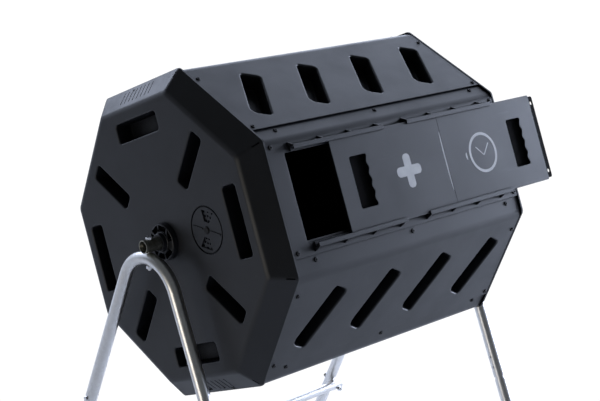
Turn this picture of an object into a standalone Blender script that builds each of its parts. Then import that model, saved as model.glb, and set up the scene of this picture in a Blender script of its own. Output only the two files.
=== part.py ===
# Dual chamber compost tumbler: an eight-sided drum of moulded panels that turns on a
# fixed axle tube between two bent tube legs, with a two-part sliding door.
#
# The axle lies along X, the door faces -Y, the feet stand on Z = 0.
# Face angles are counted about the axle from straight up towards -Y, in degrees.

import math

import bmesh
import bpy
from mathutils import Matrix, Vector

# ---------------------------------------------------------------- driving sizes (metres)
GAP = 0.0003                 # between pieces that touch
PAST = 0.002                 # cutting shapes run this far past the surface they cut
THROUGH = 0.01               # half length of shapes that cut right through thin walls

DRUM_FLATS = 0.532           # across two opposite sides of the end panels
DRUM_LENGTH = 0.543          # between the rims of the two end panels
WALL = 0.003                 # side panels
PANEL_INSET = 0.0008         # side panels stand this much below the rims
SIDES = 8

AXLE_HEIGHT = 0.626
AXLE_OVERHANG = 0.013        # axle tube past the legs' centre plane
TUBE_RADIUS = 0.0111         # legs and axle
TUBE_WALL = 0.0015

CAP_DEPTH = 0.035            # end panel, rim to front face
CAP_BEVEL = 0.036            # how far the front face's corners stand inside the rim's
CAP_WALL = 0.0032
CAP_EDGE_RADIUS = 0.014
CAP_LIP = 0.003
SKIRT_LENGTH = 0.020
SKIRT_WALL = 0.0025
SKIRT_CLEARANCE = 0.0008     # the skirt's sharp corners stay inside the panels' round folds

POCKET_DRAFT = math.radians(6)
POCKET_FLOOR = 0.0025
END_POCKET_DEPTH = 0.029
END_POCKET_CORNER = 0.006
LONG_POCKET = (0.117, 0.033)  # length and width of the end pockets that lie along the sides
SHORT_POCKET = (0.098, 0.028)  # and of those that point to the axle
END_POCKET_MARGIN = 0.0215   # between the pockets and the front face's edge
SIDE_POCKET_LENGTH = 0.120
SIDE_POCKET_WIDTH = 0.035
SIDE_POCKET_CORNER = 0.008
SIDE_POCKET_DEPTH = 0.028
SIDE_POCKET_SLANT = math.radians(29.5)
SIDE_POCKET_END = 0.0171     # a quarter panel each, after this margin at both ends
SIDE_POCKET_V = -0.008       # down the panel from the middle of its side
SIDE_POCKETS = 4

SEAM_TO_CORNER = 0.030       # from a side panel's lower edge to the side's lower corner
FLANGE_OVERLAP = 0.024       # hidden under the neighbour
FOLD_RADIUS = 0.022
PANEL_END_GAP = 0.0006       # side panel's end to the rim's shoulder

DOOR_FACE = 67.5
DOOR_TO_SEAM = 0.013         # from the door's lower edge to the frame panel's
DOOR_TO_CORNER = 0.0192      # from the door's upper edge to the side's upper corner
DOOR_PLATE = 0.0028
DOOR_LAP = 0.017             # each half reaches past its opening's far edge, less its offset
DOOR_RIB = 0.0029            # the plate's long edges are turned down this much
DOOR_RIB_WALL = 0.0025
DOOR_OUT = 0.100             # how far the door stands open to the right at rest
DOOR_MIDDLE = 0.006          # middle of the two plates when shut, from the drum's middle
TONGUE = 0.0115
TONGUE_HOLE = 0.0032
TONGUE_HOLE_MARGIN = 0.0155  # from the door's long edges
PEG_RADIUS = 0.0026
GRIP_WIDTH = 0.038
GRIP_LENGTH = 0.088
GRIP_DEPTH = 0.0070
GRIP_FLOOR = 0.0012
GRIP_LEFT = 0.054            # left half: grip's middle from the half's left edge
GRIP_RIGHT = 0.060           # right half: grip's middle from the half's right edge
GRIP_CORNER = 0.005
GRIP_WAVE = 0.0015           # depth of the waves in the grip's right edge
GRIP_WAVES = 4
GRIP_WALL = 0.0015
TONGUE_CORNER = 0.004
TONGUE_ROOT = 0.001          # the tongue's neck stays this far inside the half

OPENING_END = 0.0335         # from each opening's far edge to the rim
RAIL_LEDGE_WIDTH = 0.007     # the ledge under the door's edge, beside the openings
CENTRE_BAR = 0.024
RAIL_END_LEFT = 0.0455       # rails' ends from the rims
RAIL_END_RIGHT = 0.0215
RAIL_GAP_LEFT = 0.024        # rails' ends either side of the drum's middle
RAIL_GAP_RIGHT = 0.032
RAIL_LEDGE = 0.0031          # ledge that the door rides on, above the panel
RAIL_SIDE_CLEARANCE = 0.0004
RAIL_WALL = 0.003
RAIL_LIP = 0.0025
RAIL_LIP_REACH = 0.0045      # from the rail's wall in over the door
RAIL_CLEARANCE = 0.0003
GUSSETS = 8
GUSSET_WIDTH = 0.004
GUSSET_REACH = 0.0058
GUSSET_FOOT = 0.0005          # thickness of a gusset's thin outer end

HUB_FLANGE = 0.033
HUB_FLANGE_DEPTH = 0.010
HUB_SLEEVE = 0.0155
HUB_REACH = 0.018
HUB_SPIGOT = 0.0200
HUB_BORE_CLEARANCE = 0.0005
HUB_RECESSES = 8
HUB_RECESS_RADIUS = 0.0055
HUB_RECESS_FLOOR = 0.003
HUB_ROOT = 0.001             # the sleeve is this much thicker where it meets the flange
HUB_EDGE = (0.0015, 0.002)   # the flange's sloped edge, across and along the axle
SPIGOT_REACH = 0.006         # how far hubs and divider bush stand out inside their wall

VENT_ANGLE = 67.5
VENT_GAP = 0.0255            # between the vent dial and the side pocket next to it
VENT_RADIUS = 0.0388
VENT_RECESS = 0.0026
VENT_THICKNESS = 0.0020
VENT_HOLE = 0.0022
VENT_HOLE_MARGIN = 0.0065    # outer row of air holes to the dial's edge
VENT_HOLE_PITCH = 0.0077
VENT_PIVOT = 0.0030
VENT_PIVOT_HEAD = 0.0065
VENT_WINDOW = math.radians(56)
VENT_WINDOW_INNER = 0.013
VENT_RIM = 0.004             # the dial's rim outside its windows
VENT_EDGE = 0.0006
VENT_RIB_START = 0.009
VENT_RIB_END = 0.003         # from the dial's edge
VENT_RIB_WIDTH = 0.0024
VENT_RIB_HEIGHT = 0.0015
VENT_PAD_MARGIN = 0.004      # the end panel's thicker pad round the dial's recess
VENT_CLEARANCE = 0.0011
RIVET_HEAD = 0.0018
RIVET_EDGE = (0.0015, 0.0012)
RIVET_TAIL = 0.0022          # the flattened end, wider and longer by this much

SLITS = 8
SLIT_PITCH = 0.012
SLIT_WIDTH = 0.0018
SLIT_LENGTH = 0.026
SLIT_CUT = 0.006             # half depth of the cut

DIVIDER_WALL = 0.003
DIVIDER_FLANGE = 0.0085
DIVIDER_CLEARANCE = 0.0008
DIVIDER_BUSH_FLANGE = 0.026
DIVIDER_RIM = 0.003          # thickness of the flange that takes the panel screws
BUSH_SLEEVE = 0.008
BUSH_FLANGE_DEPTH = 0.003
BLANK_START = 0.012          # turned walls begin at this radius, inside their later bore

LEG_TO_HUB = 0.0069          # between a leg and the hub's sleeve
LEG_ANGLE = math.radians(24)
LEG_HALF_GAP = 0.037         # leg centre lines at the axle's height
LEG_JOINT_HEIGHT = 0.260     # above the floor
SWAGE_LENGTH = 0.060
SWAGE_CLEARANCE = 0.0007
SWAGE_SHOULDER = 0.006
FOOT_WALL = 0.0022
FOOT_LENGTH = 0.034
FOOT_FLOOR = 0.0105
CROSS_BAR_HEIGHT = 0.105
CROSS_BAR_RADIUS = 0.0095
CROSS_BAR_OVERHANG = 0.012

BOLT_RADIUS = 0.0030
HOLE_CLEARANCE = 0.0005
BOLT_HEAD_RADIUS = 0.0058
BOLT_HEAD_HEIGHT = 0.0040
NUT_HEIGHT = 0.0050
BEND_SEAT = 0.0008           # the axle nut's corners clear the curved underside of the bend
LEG_BOLT_RADIUS = 0.0024
LEG_BOLT_PITCH = 0.020
LEG_BOLT_HEAD = 0.003
LEG_BOLT_HEAD_RADIUS = 0.00456
LEG_BOLT_TIP = 0.003         # past the tubes it holds
BOLT_TIP = 0.004             # past its nut
DRILL_REACH = 0.02           # half length of the drill through a tube

TUBE_SIDES = 12
ROUND_SIDES = 20
HOLE_SIDES = 8
DIAL_SIDES = 28

# ---------------------------------------------------------------- sizes that follow
HALF_ANGLE = math.pi / SIDES
RIM_APOTHEM = DRUM_FLATS / 2
RIM_RADIUS = RIM_APOTHEM / math.cos(HALF_ANGLE)
PANEL_APOTHEM = RIM_APOTHEM - PANEL_INSET
LAYER = WALL + GAP           # each panel's flange lies one layer under its neighbour
SKIRT_APOTHEM = PANEL_APOTHEM - 2 * LAYER - SKIRT_CLEARANCE
SIDE_HALF = RIM_APOTHEM * math.tan(HALF_ANGLE)
SEAM_V = SIDE_HALF - SEAM_TO_CORNER                        # v counts down from a side's middle
FACE_RADIUS = RIM_RADIUS - CAP_BEVEL
FACE_APOTHEM = FACE_RADIUS * math.cos(HALF_ANGLE)
LONG_POCKET_R = FACE_APOTHEM - END_POCKET_MARGIN - LONG_POCKET[1] / 2
SHORT_POCKET_R = FACE_APOTHEM - END_POCKET_MARGIN - SHORT_POCKET[0] / 2
VENT_R = LONG_POCKET_R - LONG_POCKET[1] / 2 - VENT_GAP - VENT_RADIUS
LEG_X = DRUM_LENGTH / 2 + CAP_DEPTH + HUB_REACH + LEG_TO_HUB + TUBE_RADIUS
AXLE_LENGTH = 2 * (LEG_X + AXLE_OVERHANG)
SIDE_POCKET_PITCH = (DRUM_LENGTH - 2 * SIDE_POCKET_END) / SIDE_POCKETS
BORE_RADIUS = (TUBE_RADIUS + HUB_BORE_CLEARANCE) / math.cos(math.pi / ROUND_SIDES)
DOOR_W = PANEL_APOTHEM + RAIL_LEDGE + GAP + DOOR_RIB       # underside of the door's plate
DOOR_TOP_W = DOOR_W + DOOR_PLATE
DOOR_HEIGHT = SEAM_V - DOOR_TO_SEAM + SIDE_HALF - DOOR_TO_CORNER
DOOR_V = SEAM_V - DOOR_TO_SEAM - DOOR_HEIGHT / 2
OPENING_HALF = DRUM_LENGTH / 2 - OPENING_END
OPENING_HEIGHT = DOOR_HEIGHT - 2 * RAIL_LEDGE_WIDTH
DOOR_HALF = OPENING_HALF + DOOR_LAP
RAIL_SECTIONS = ((-DRUM_LENGTH / 2 + RAIL_END_LEFT, -RAIL_GAP_LEFT),
                 (RAIL_GAP_RIGHT, DRUM_LENGTH / 2 - RAIL_END_RIGHT))
GUSSET_PITCH = (DRUM_LENGTH - 2 * RAIL_END_LEFT) / (GUSSETS - 1)
DOOR_RIGHT = DOOR_MIDDLE + DOOR_HALF + TONGUE + DOOR_OUT
END_REACH = max(AXLE_LENGTH / 2, LEG_X + TUBE_RADIUS + LEG_BOLT_HEAD)
AXLE_SHIFT = -(DOOR_RIGHT - END_REACH) / 2                 # centres the whole object on X = 0
APEX_DROP = 2 * TUBE_RADIUS + GAP                          # axle rests on the bent legs


# ---------------------------------------------------------------- helpers
def new_collection(name):
    collection = bpy.data.collections.new(name)
    bpy.context.scene.collection.children.link(collection)
    return collection


def make_material(name, colour, roughness, metallic=0.0):
    material = bpy.data.materials.new(name)
    material.use_nodes = True
    shader = material.node_tree.nodes["Principled BSDF"]
    shader.inputs["Base Color"].default_value = (*colour, 1.0)
    shader.inputs["Roughness"].default_value = roughness
    shader.inputs["Metallic"].default_value = metallic
    return material


def make_empty(name, parent=None, location=(0, 0, 0), rotation=(0, 0, 0)):
    empty = bpy.data.objects.new(name, None)
    empty.location = location
    empty.rotation_euler = rotation
    empty.parent = parent
    parts.objects.link(empty)
    return empty


def finish_mesh(bm, name, angle=35):
    bmesh.ops.recalc_face_normals(bm, faces=bm.faces)
    mesh = bpy.data.meshes.new(name)
    bm.to_mesh(mesh)
    bm.free()
    mesh.shade_smooth()
    mesh.set_sharp_from_angle(angle=math.radians(angle))
    return mesh


def add_part(name, mesh, material, parent, location=(0, 0, 0), rotation=(0, 0, 0)):
    part = bpy.data.objects.new(name, mesh)
    if not mesh.materials:
        mesh.materials.append(material)
    part.location = location
    part.rotation_euler = rotation
    part.parent = parent
    parts.objects.link(part)
    return part


def add_cutter(name, mesh):
    cutter = bpy.data.objects.new(name, mesh)
    cutter.hide_render = True
    cutter.display_type = "WIRE"
    cutters.objects.link(cutter)
    return cutter


def boolean(part, operation, cutter, touching=False):
    modifier = part.modifiers.new(f"{operation.lower()} {cutter.name}", "BOOLEAN")
    modifier.operation = operation
    modifier.solver = "EXACT"
    modifier.use_self = touching
    modifier.object = cutter


def settled_mesh(part, name):
    """The evaluated mesh of a scratch object, which is then removed."""
    bpy.context.view_layer.update()
    evaluated = part.evaluated_get(bpy.context.evaluated_depsgraph_get())
    mesh = bpy.data.meshes.new_from_object(evaluated)
    mesh.name = name
    bm = bmesh.new()
    bm.from_mesh(mesh)
    bmesh.ops.remove_doubles(bm, verts=bm.verts, dist=1e-6)
    bm.to_mesh(mesh)
    bm.free()
    bpy.data.objects.remove(part)
    return mesh


def scratch(name, mesh):
    part = bpy.data.objects.new(name, mesh)
    parts.objects.link(part)
    return part


def arc(centre, radius, start, end, steps):
    """Points on an arc in a plane, both ends included; angles in radians."""
    return [
        (centre[0] + radius * math.cos(start + (end - start) * i / steps),
         centre[1] + radius * math.sin(start + (end - start) * i / steps))
        for i in range(steps + 1)
    ]


def rounded_rectangle(length, width, corner, steps=2):
    points = []
    for quarter, (sx, sy) in enumerate(((1, 1), (-1, 1), (-1, -1), (1, -1))):
        centre = (sx * (length / 2 - corner), sy * (width / 2 - corner))
        start = quarter * math.pi / 2
        points += arc(centre, corner, start, start + math.pi / 2, steps)
    return points


def prism(outline, bottom, top, top_scale=(1, 1)):
    """A closed block over a flat outline, from z = bottom to z = top, tapered if asked."""
    bm = bmesh.new()
    face = bm.faces.new([bm.verts.new((x, y, bottom)) for x, y in outline])
    raised = bmesh.ops.extrude_face_region(bm, geom=[face])["geom"]
    for vertex in (item for item in raised if isinstance(item, bmesh.types.BMVert)):
        vertex.co.x *= top_scale[0]
        vertex.co.y *= top_scale[1]
        vertex.co.z = top
    bmesh.ops.recalc_face_normals(bm, faces=bm.faces)
    return bm


def box(low, high):
    bm = bmesh.new()
    bmesh.ops.create_cube(bm, size=1)
    size = Vector(high) - Vector(low)
    bmesh.ops.scale(bm, vec=size, verts=bm.verts)
    bmesh.ops.translate(bm, vec=(Vector(high) + Vector(low)) / 2, verts=bm.verts)
    return bm


def cylinder(radius, bottom, top, sides=TUBE_SIDES):
    bm = bmesh.new()
    bmesh.ops.create_cone(bm, cap_ends=True, segments=sides, radius1=radius, radius2=radius,
                          depth=top - bottom)
    bmesh.ops.translate(bm, vec=(0, 0, (top + bottom) / 2), verts=bm.verts)
    return bm


def moved(bm, matrix):
    bmesh.ops.transform(bm, matrix=matrix, verts=bm.verts)
    return bm


def joined(pieces):
    """One bmesh from several closed ones."""
    whole = bmesh.new()
    for piece in pieces:
        mesh = bpy.data.meshes.new("piece")
        piece.to_mesh(mesh)
        piece.free()
        whole.from_mesh(mesh)
        bpy.data.meshes.remove(mesh)
    return whole


def turned(name, profile, steps):
    """A solid turned about Z from a closed profile of (radius, z) that runs down its outside."""
    bm = bmesh.new()
    corners = [bm.verts.new((r, 0, z)) for r, z in profile]
    for first, second in zip(corners, corners[1:] + corners[:1]):
        bm.edges.new((first, second))
    mesh = bpy.data.meshes.new(name)
    bm.to_mesh(mesh)
    bm.free()
    part = scratch(name, mesh)
    screw = part.modifiers.new("turn", "SCREW")
    screw.steps = screw.render_steps = steps
    screw.use_merge_vertices = True
    screw.merge_threshold = 0.00001
    return part


def turn_z(degrees):
    return Matrix.Rotation(math.radians(degrees), 4, "Z")


# ---------------------------------------------------------------- end panels
# Drawn with the outward direction along +Z, the rim plane at z = 0 and straight up at +X.
def end_pocket_places():
    """Pockets on the front face: (clockwise angle, distance, length, width, turned along it)."""
    for quarter in range(4):
        yield -22.5 + 90 * quarter, LONG_POCKET_R, *LONG_POCKET, 90
        yield 22.5 + 90 * quarter, SHORT_POCKET_R, *SHORT_POCKET, 0


def pocket_blocks(length, width, corner, depth, matrix, surface_wall):
    """The outer tray and the cavity of one pocket that goes down from z = 0."""
    def tapered(extra, top, bottom):
        def size(z):
            shrink = 2 * z * math.tan(POCKET_DRAFT)
            return length + 2 * extra + shrink, width + 2 * extra + shrink
        wide, narrow = size(top), size(bottom)
        outline = rounded_rectangle(*wide, corner + extra)
        bm = prism(outline, top, bottom, (narrow[0] / wide[0], narrow[1] / wide[1]))
        return moved(bm, matrix)
    tray = tapered(POCKET_FLOOR, -surface_wall / 2, -depth - POCKET_FLOOR)
    cavity = tapered(0, 0.002, -depth)
    return tray, cavity


def vent_centre():
    angle = -math.radians(VENT_ANGLE)
    return Vector((VENT_R * math.cos(angle), VENT_R * math.sin(angle), 0))


def vent_holes():
    """Two opposite groups of air holes behind the vent dial, about the dial's centre."""
    for side in (0, 180):
        for row, (count, spread) in enumerate(((3, 20), (3, 22), (2, 24))):
            ring = VENT_RADIUS - VENT_HOLE_MARGIN - VENT_HOLE_PITCH * row
            for i in range(count):
                angle = math.radians(side + spread * (i - (count - 1) / 2))
                yield ring * math.cos(angle), ring * math.sin(angle)


def end_panel_mesh():
    slope = math.atan2(CAP_DEPTH - CAP_LIP, CAP_BEVEL)
    tangent = CAP_EDGE_RADIUS * math.tan(slope / 2)
    centre = (FACE_RADIUS - tangent, CAP_DEPTH - CAP_EDGE_RADIUS)
    edge = arc(centre, CAP_EDGE_RADIUS, math.pi / 2, math.pi / 2 - slope, 3)
    skirt = SKIRT_APOTHEM / math.cos(HALF_ANGLE)
    skirt_inside = skirt - SKIRT_WALL / math.cos(HALF_ANGLE)

    # the inside of the bevel runs parallel to its outside, one wall in
    inner_z = CAP_DEPTH - CAP_WALL
    wall_in = CAP_WALL / math.sin(slope)
    inner_face_radius = FACE_RADIUS + CAP_WALL / math.tan(slope) - wall_in
    inner_low_z = inner_z - (skirt_inside - inner_face_radius) * math.tan(slope)

    profile = [(BLANK_START, CAP_DEPTH), *edge, (RIM_RADIUS, CAP_LIP), (RIM_RADIUS, 0),
               (skirt, 0), (skirt, -SKIRT_LENGTH), (skirt_inside, -SKIRT_LENGTH),
               (skirt_inside, inner_low_z), (inner_face_radius, inner_z),
               (BLANK_START, inner_z)]
    panel = turned("end panel blank", profile, SIDES)

    trays, cavities = [], []
    for angle, distance, length, width, along in end_pocket_places():
        place = (turn_z(-angle) @ Matrix.Translation((distance, 0, CAP_DEPTH)) @ turn_z(along))
        tray, cavity = pocket_blocks(length, width, END_POCKET_CORNER, END_POCKET_DEPTH, place,
                                     CAP_WALL)
        trays.append(tray)
        cavities.append(cavity)

    # a thicker pad carries the vent dial's recess
    vent = Matrix.Translation(vent_centre())
    pad_bottom = CAP_DEPTH - VENT_RECESS - POCKET_FLOOR
    trays.append(moved(cylinder(VENT_RADIUS + VENT_PAD_MARGIN, pad_bottom,
                                CAP_DEPTH - CAP_WALL / 2, ROUND_SIDES), vent))
    cavities.append(moved(cylinder(VENT_RADIUS + VENT_CLEARANCE, CAP_DEPTH - VENT_RECESS,
                                   CAP_DEPTH + PAST, DIAL_SIDES), vent))
    hole_low, hole_high = pad_bottom - PAST, CAP_DEPTH - VENT_RECESS / 2
    holes = [moved(cylinder(VENT_HOLE, hole_low, hole_high, 6),
                   vent @ Matrix.Translation((x, y, 0))) for x, y in vent_holes()]
    holes.append(moved(cylinder(VENT_PIVOT + HOLE_CLEARANCE, hole_low, hole_high, HOLE_SIDES),
                       vent))
    holes.append(cylinder(HUB_SPIGOT + HOLE_CLEARANCE, 0, CAP_DEPTH + PAST, ROUND_SIDES))

    # narrow slits through the bevelled wall of two opposite sides
    middle = Vector(((RIM_RADIUS - CAP_BEVEL / 2) * math.cos(HALF_ANGLE), 0,
                     (CAP_DEPTH + CAP_LIP) / 2))
    side_slope = math.atan2(CAP_DEPTH - CAP_LIP, CAP_BEVEL * math.cos(HALF_ANGLE))
    for angle in (-22.5, 157.5):
        for i in range(SLITS):
            across = SLIT_PITCH * (i - (SLITS - 1) / 2)
            slit = box((-SLIT_LENGTH / 2, -SLIT_WIDTH / 2, -SLIT_CUT),
                       (SLIT_LENGTH / 2, SLIT_WIDTH / 2, SLIT_CUT))
            place = (turn_z(-angle) @ Matrix.Translation(middle + Vector((0, across, 0)))
                     @ Matrix.Rotation(side_slope, 4, "Y"))
            holes.append(moved(slit, place))

    boolean(panel, "UNION", add_cutter("end trays", finish_mesh(joined(trays), "end trays")))
    boolean(panel, "DIFFERENCE",
            add_cutter("end cavities", finish_mesh(joined(cavities), "end cavities")))
    boolean(panel, "DIFFERENCE", add_cutter("end holes", finish_mesh(joined(holes), "end holes")))
    return settled_mesh(panel, "end panel")


# ---------------------------------------------------------------- side panels
# Drawn for a side that faces straight up: X along the axle, w = Z outwards from the axle,
# v = -Y down round the front. Turned about X by the side's angle afterwards.
def panel_profile():
    """(v, w) points of a side panel's outer surface: lower edge, fold, flange's end."""
    turn = 2 * HALF_ANGLE
    flange_apothem = PANEL_APOTHEM - LAYER
    fold_v = (PANEL_APOTHEM * math.cos(turn) - flange_apothem) / math.sin(turn)
    tangent = FOLD_RADIUS * math.tan(turn / 2)
    centre = (fold_v + tangent, PANEL_APOTHEM - FOLD_RADIUS)
    fold = arc(centre, FOLD_RADIUS, math.pi / 2, math.pi / 2 + turn, 4)

    # the flange follows the neighbour's side, one layer down, to under its lower edge
    end_v = SEAM_V - FLANGE_OVERLAP
    along = Vector((math.cos(turn), math.sin(turn)))
    out = Vector((-math.sin(turn), math.cos(turn)))
    flange_end = along * end_v + out * flange_apothem
    return [(SEAM_V, PANEL_APOTHEM), *fold, tuple(flange_end)]


def panel_blank(name):
    half = DRUM_LENGTH / 2 - PANEL_END_GAP
    bm = bmesh.new()
    row = [bm.verts.new((-half, -v, w)) for v, w in panel_profile()]
    edges = [bm.edges.new(pair) for pair in zip(row, row[1:])]
    swept = bmesh.ops.extrude_edge_only(bm, edges=edges)["geom"]
    bmesh.ops.translate(bm, vec=(2 * half, 0, 0),
                        verts=[item for item in swept if isinstance(item, bmesh.types.BMVert)])
    bm.normal_update()
    inward = [face for face in bm.faces if face.normal.z < 0]
    bmesh.ops.reverse_faces(bm, faces=inward)
    mesh = bpy.data.meshes.new(name)
    bm.to_mesh(mesh)
    bm.free()
    panel = scratch(name, mesh)
    solidify = panel.modifiers.new("wall", "SOLIDIFY")
    solidify.thickness = WALL
    solidify.offset = -1
    solidify.use_even_offset = True
    return panel


def side_panel_mesh():
    panel = panel_blank("side panel blank")
    trays, cavities = [], []
    for i in range(SIDE_POCKETS):
        x = SIDE_POCKET_PITCH * (i - (SIDE_POCKETS - 1) / 2)
        place = (Matrix.Translation((x, -SIDE_POCKET_V, PANEL_APOTHEM))
                 @ Matrix.Rotation(math.pi / 2 - SIDE_POCKET_SLANT, 4, "Z"))
        tray, cavity = pocket_blocks(SIDE_POCKET_LENGTH, SIDE_POCKET_WIDTH, SIDE_POCKET_CORNER,
                                     SIDE_POCKET_DEPTH, place, WALL)
        trays.append(tray)
        cavities.append(cavity)
    boolean(panel, "UNION", add_cutter("side trays", finish_mesh(joined(trays), "side trays")))
    boolean(panel, "DIFFERENCE",
            add_cutter("side cavities", finish_mesh(joined(cavities), "side cavities")))
    return settled_mesh(panel, "side panel")


def rail_outline():
    """Half section of a rail, (distance from the door's centre line, height above the panel)."""
    wall_in = DOOR_HEIGHT / 2 + RAIL_SIDE_CLEARANCE
    wall_out = wall_in + RAIL_WALL
    lip_under = DOOR_TOP_W - PANEL_APOTHEM + RAIL_CLEARANCE
    lip_top = lip_under + RAIL_LIP
    root = -WALL / 2
    return [(OPENING_HEIGHT / 2, root), (wall_out, root), (wall_out, lip_top),
            (wall_in - RAIL_LIP_REACH, lip_top), (wall_in - RAIL_LIP_REACH, lip_under),
            (wall_in, lip_under), (wall_in, RAIL_LEDGE), (OPENING_HEIGHT / 2, RAIL_LEDGE)]


def along_door(outline, start, end, side):
    """A bar with a section of (distance from the door's centre line, height), along X."""
    bm = prism([(distance, height) for distance, height in outline], start, end)
    # section x -> across the panel, section y -> outwards, prism axis -> along the axle
    place = Matrix(((0, 0, 1, 0), (-side, 0, 0, -DOOR_V), (0, 1, 0, PANEL_APOTHEM), (0, 0, 0, 1)))
    return moved(bm, place)


def door_frame_mesh():
    panel = panel_blank("door frame blank")
    half_height = OPENING_HEIGHT / 2
    openings = [box((start, -DOOR_V - half_height, PANEL_APOTHEM - THROUGH),
                    (end, -DOOR_V + half_height, PANEL_APOTHEM + THROUGH))
                for start, end in ((-OPENING_HALF, -CENTRE_BAR / 2),
                                   (CENTRE_BAR / 2, OPENING_HALF))]
    section = rail_outline()
    wall_out, lip_top = section[2]
    ledge = [section[0], (wall_out - RAIL_WALL, section[0][1]), section[6], section[7]]
    gusset = [(wall_out - RAIL_WALL / 2, section[0][1]), (wall_out + GUSSET_REACH, section[0][1]),
              (wall_out + GUSSET_REACH, GUSSET_FOOT), (wall_out - RAIL_WALL / 2, lip_top - 0.001)]
    bars = []
    for side in (-1, 1):
        for start, end in RAIL_SECTIONS:
            bars.append(along_door(section, start, end, side))
        bars.append(along_door(ledge, RAIL_SECTIONS[0][1] - PAST, RAIL_SECTIONS[1][0] + PAST,
                               side))
        for i in range(GUSSETS):
            x = GUSSET_PITCH * (i - (GUSSETS - 1) / 2)
            bars.append(along_door(gusset, x - GUSSET_WIDTH / 2, x + GUSSET_WIDTH / 2, side))
    boolean(panel, "UNION", add_cutter("rails", finish_mesh(joined(bars), "rails")), touching=True)
    boolean(panel, "DIFFERENCE",
            add_cutter("openings", finish_mesh(joined(openings), "openings")))
    return settled_mesh(panel, "door frame panel")


# ---------------------------------------------------------------- sliding door
# Drawn flat: X along the axle from the half's left edge, Y towards the top edge,
# z = 0 at the underside of the plate.
def grip_outline(extra):
    """The finger grip: straight left edge, wavy right edge."""
    left = -GRIP_WIDTH / 2 - extra
    right = GRIP_WIDTH / 2 + extra
    half = GRIP_LENGTH / 2 + extra
    corner = left + GRIP_CORNER, half - GRIP_CORNER
    points = arc((corner[0], -corner[1]), GRIP_CORNER, math.pi, 1.5 * math.pi, 2)
    steps = 4 * GRIP_WAVES
    for i in range(steps + 1):
        wave = GRIP_WAVE * (1 - math.cos(2 * math.pi * GRIP_WAVES * i / steps))
        points.append((right - wave, -half + 2 * half * i / steps))
    points += arc(corner, GRIP_CORNER, math.pi / 2, math.pi, 2)
    return points


def door_half_mesh(name, grip_x, pegs):
    half = DOOR_HEIGHT / 2
    hole_y = half - TONGUE_HOLE_MARGIN
    tongue_half = half - DOOR_RIB_WALL - GAP
    grip_low = DOOR_PLATE - GRIP_DEPTH - GRIP_FLOOR
    tongue_top = -GAP
    plate = scratch(name, finish_mesh(box((0, -half, 0), (DOOR_HALF, half, DOOR_PLATE)), name))

    added = [box((0, -half, -DOOR_RIB), (DOOR_HALF, -half + DOOR_RIB_WALL, DOOR_PLATE / 2)),
             box((0, half - DOOR_RIB_WALL, -DOOR_RIB), (DOOR_HALF, half, DOOR_PLATE / 2))]
    # the tongue steps down one plate and runs on under the next half
    tongue = rounded_rectangle(2 * TONGUE, 2 * tongue_half, TONGUE_CORNER)
    added.append(moved(prism(tongue, -DOOR_RIB + GAP, tongue_top),
                       Matrix.Translation((DOOR_HALF, 0, 0))))
    neck_half = tongue_half - TONGUE_CORNER
    added.append(box((DOOR_HALF - TONGUE + TONGUE_ROOT, -neck_half, tongue_top - TONGUE_ROOT),
                     (DOOR_HALF - TONGUE_ROOT, neck_half, DOOR_PLATE / 2)))
    added.append(moved(prism(grip_outline(GRIP_WALL), DOOR_PLATE / 2, grip_low),
                       Matrix.Translation((grip_x, 0, 0))))
    if pegs:
        for side in (-1, 1):
            peg = cylinder(PEG_RADIUS, -DOOR_RIB + GAP, DOOR_PLATE / 2, HOLE_SIDES)
            added.append(moved(peg, Matrix.Translation((TONGUE / 2, side * hole_y, 0))))

    cut = [moved(prism(grip_outline(0), DOOR_PLATE + PAST, DOOR_PLATE - GRIP_DEPTH),
                 Matrix.Translation((grip_x, 0, 0)))]
    for side in (-1, 1):
        hole = cylinder(TONGUE_HOLE, -THROUGH, THROUGH, HOLE_SIDES)
        cut.append(moved(hole, Matrix.Translation((DOOR_HALF + TONGUE / 2, side * hole_y, 0))))
    boolean(plate, "UNION", add_cutter(name + " ribs", finish_mesh(joined(added), name + " ribs")),
            touching=True)
    boolean(plate, "DIFFERENCE",
            add_cutter(name + " cuts", finish_mesh(joined(cut), name + " cuts")))
    return settled_mesh(plate, name)


# ---------------------------------------------------------------- hub, divider, vent
def hub_mesh():
    """Turned hub, outward along +Z, z = 0 on the end panel's face."""
    flange_top = GAP + HUB_FLANGE_DEPTH
    root, inner_end = HUB_SLEEVE + HUB_ROOT, -CAP_WALL - SPIGOT_REACH
    profile = [(BORE_RADIUS, HUB_REACH), (HUB_SLEEVE, HUB_REACH), (root, flange_top),
               (HUB_FLANGE - HUB_EDGE[0], flange_top), (HUB_FLANGE, flange_top - HUB_EDGE[1]),
               (HUB_FLANGE, GAP), (HUB_SPIGOT, GAP), (HUB_SPIGOT, inner_end),
               (BORE_RADIUS, inner_end)]
    hub = turned("hub blank", profile, ROUND_SIDES)
    ring = (root + HUB_FLANGE) / 2
    recesses = [moved(cylinder(HUB_RECESS_RADIUS, HUB_RECESS_FLOOR, flange_top + PAST, HOLE_SIDES),
                      turn_z(360 * i / HUB_RECESSES) @ Matrix.Translation((ring, 0, 0)))
                for i in range(HUB_RECESSES)]
    boolean(hub, "DIFFERENCE",
            add_cutter("hub recesses", finish_mesh(joined(recesses), "recesses")))
    return settled_mesh(hub, "hub bushing")


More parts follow.
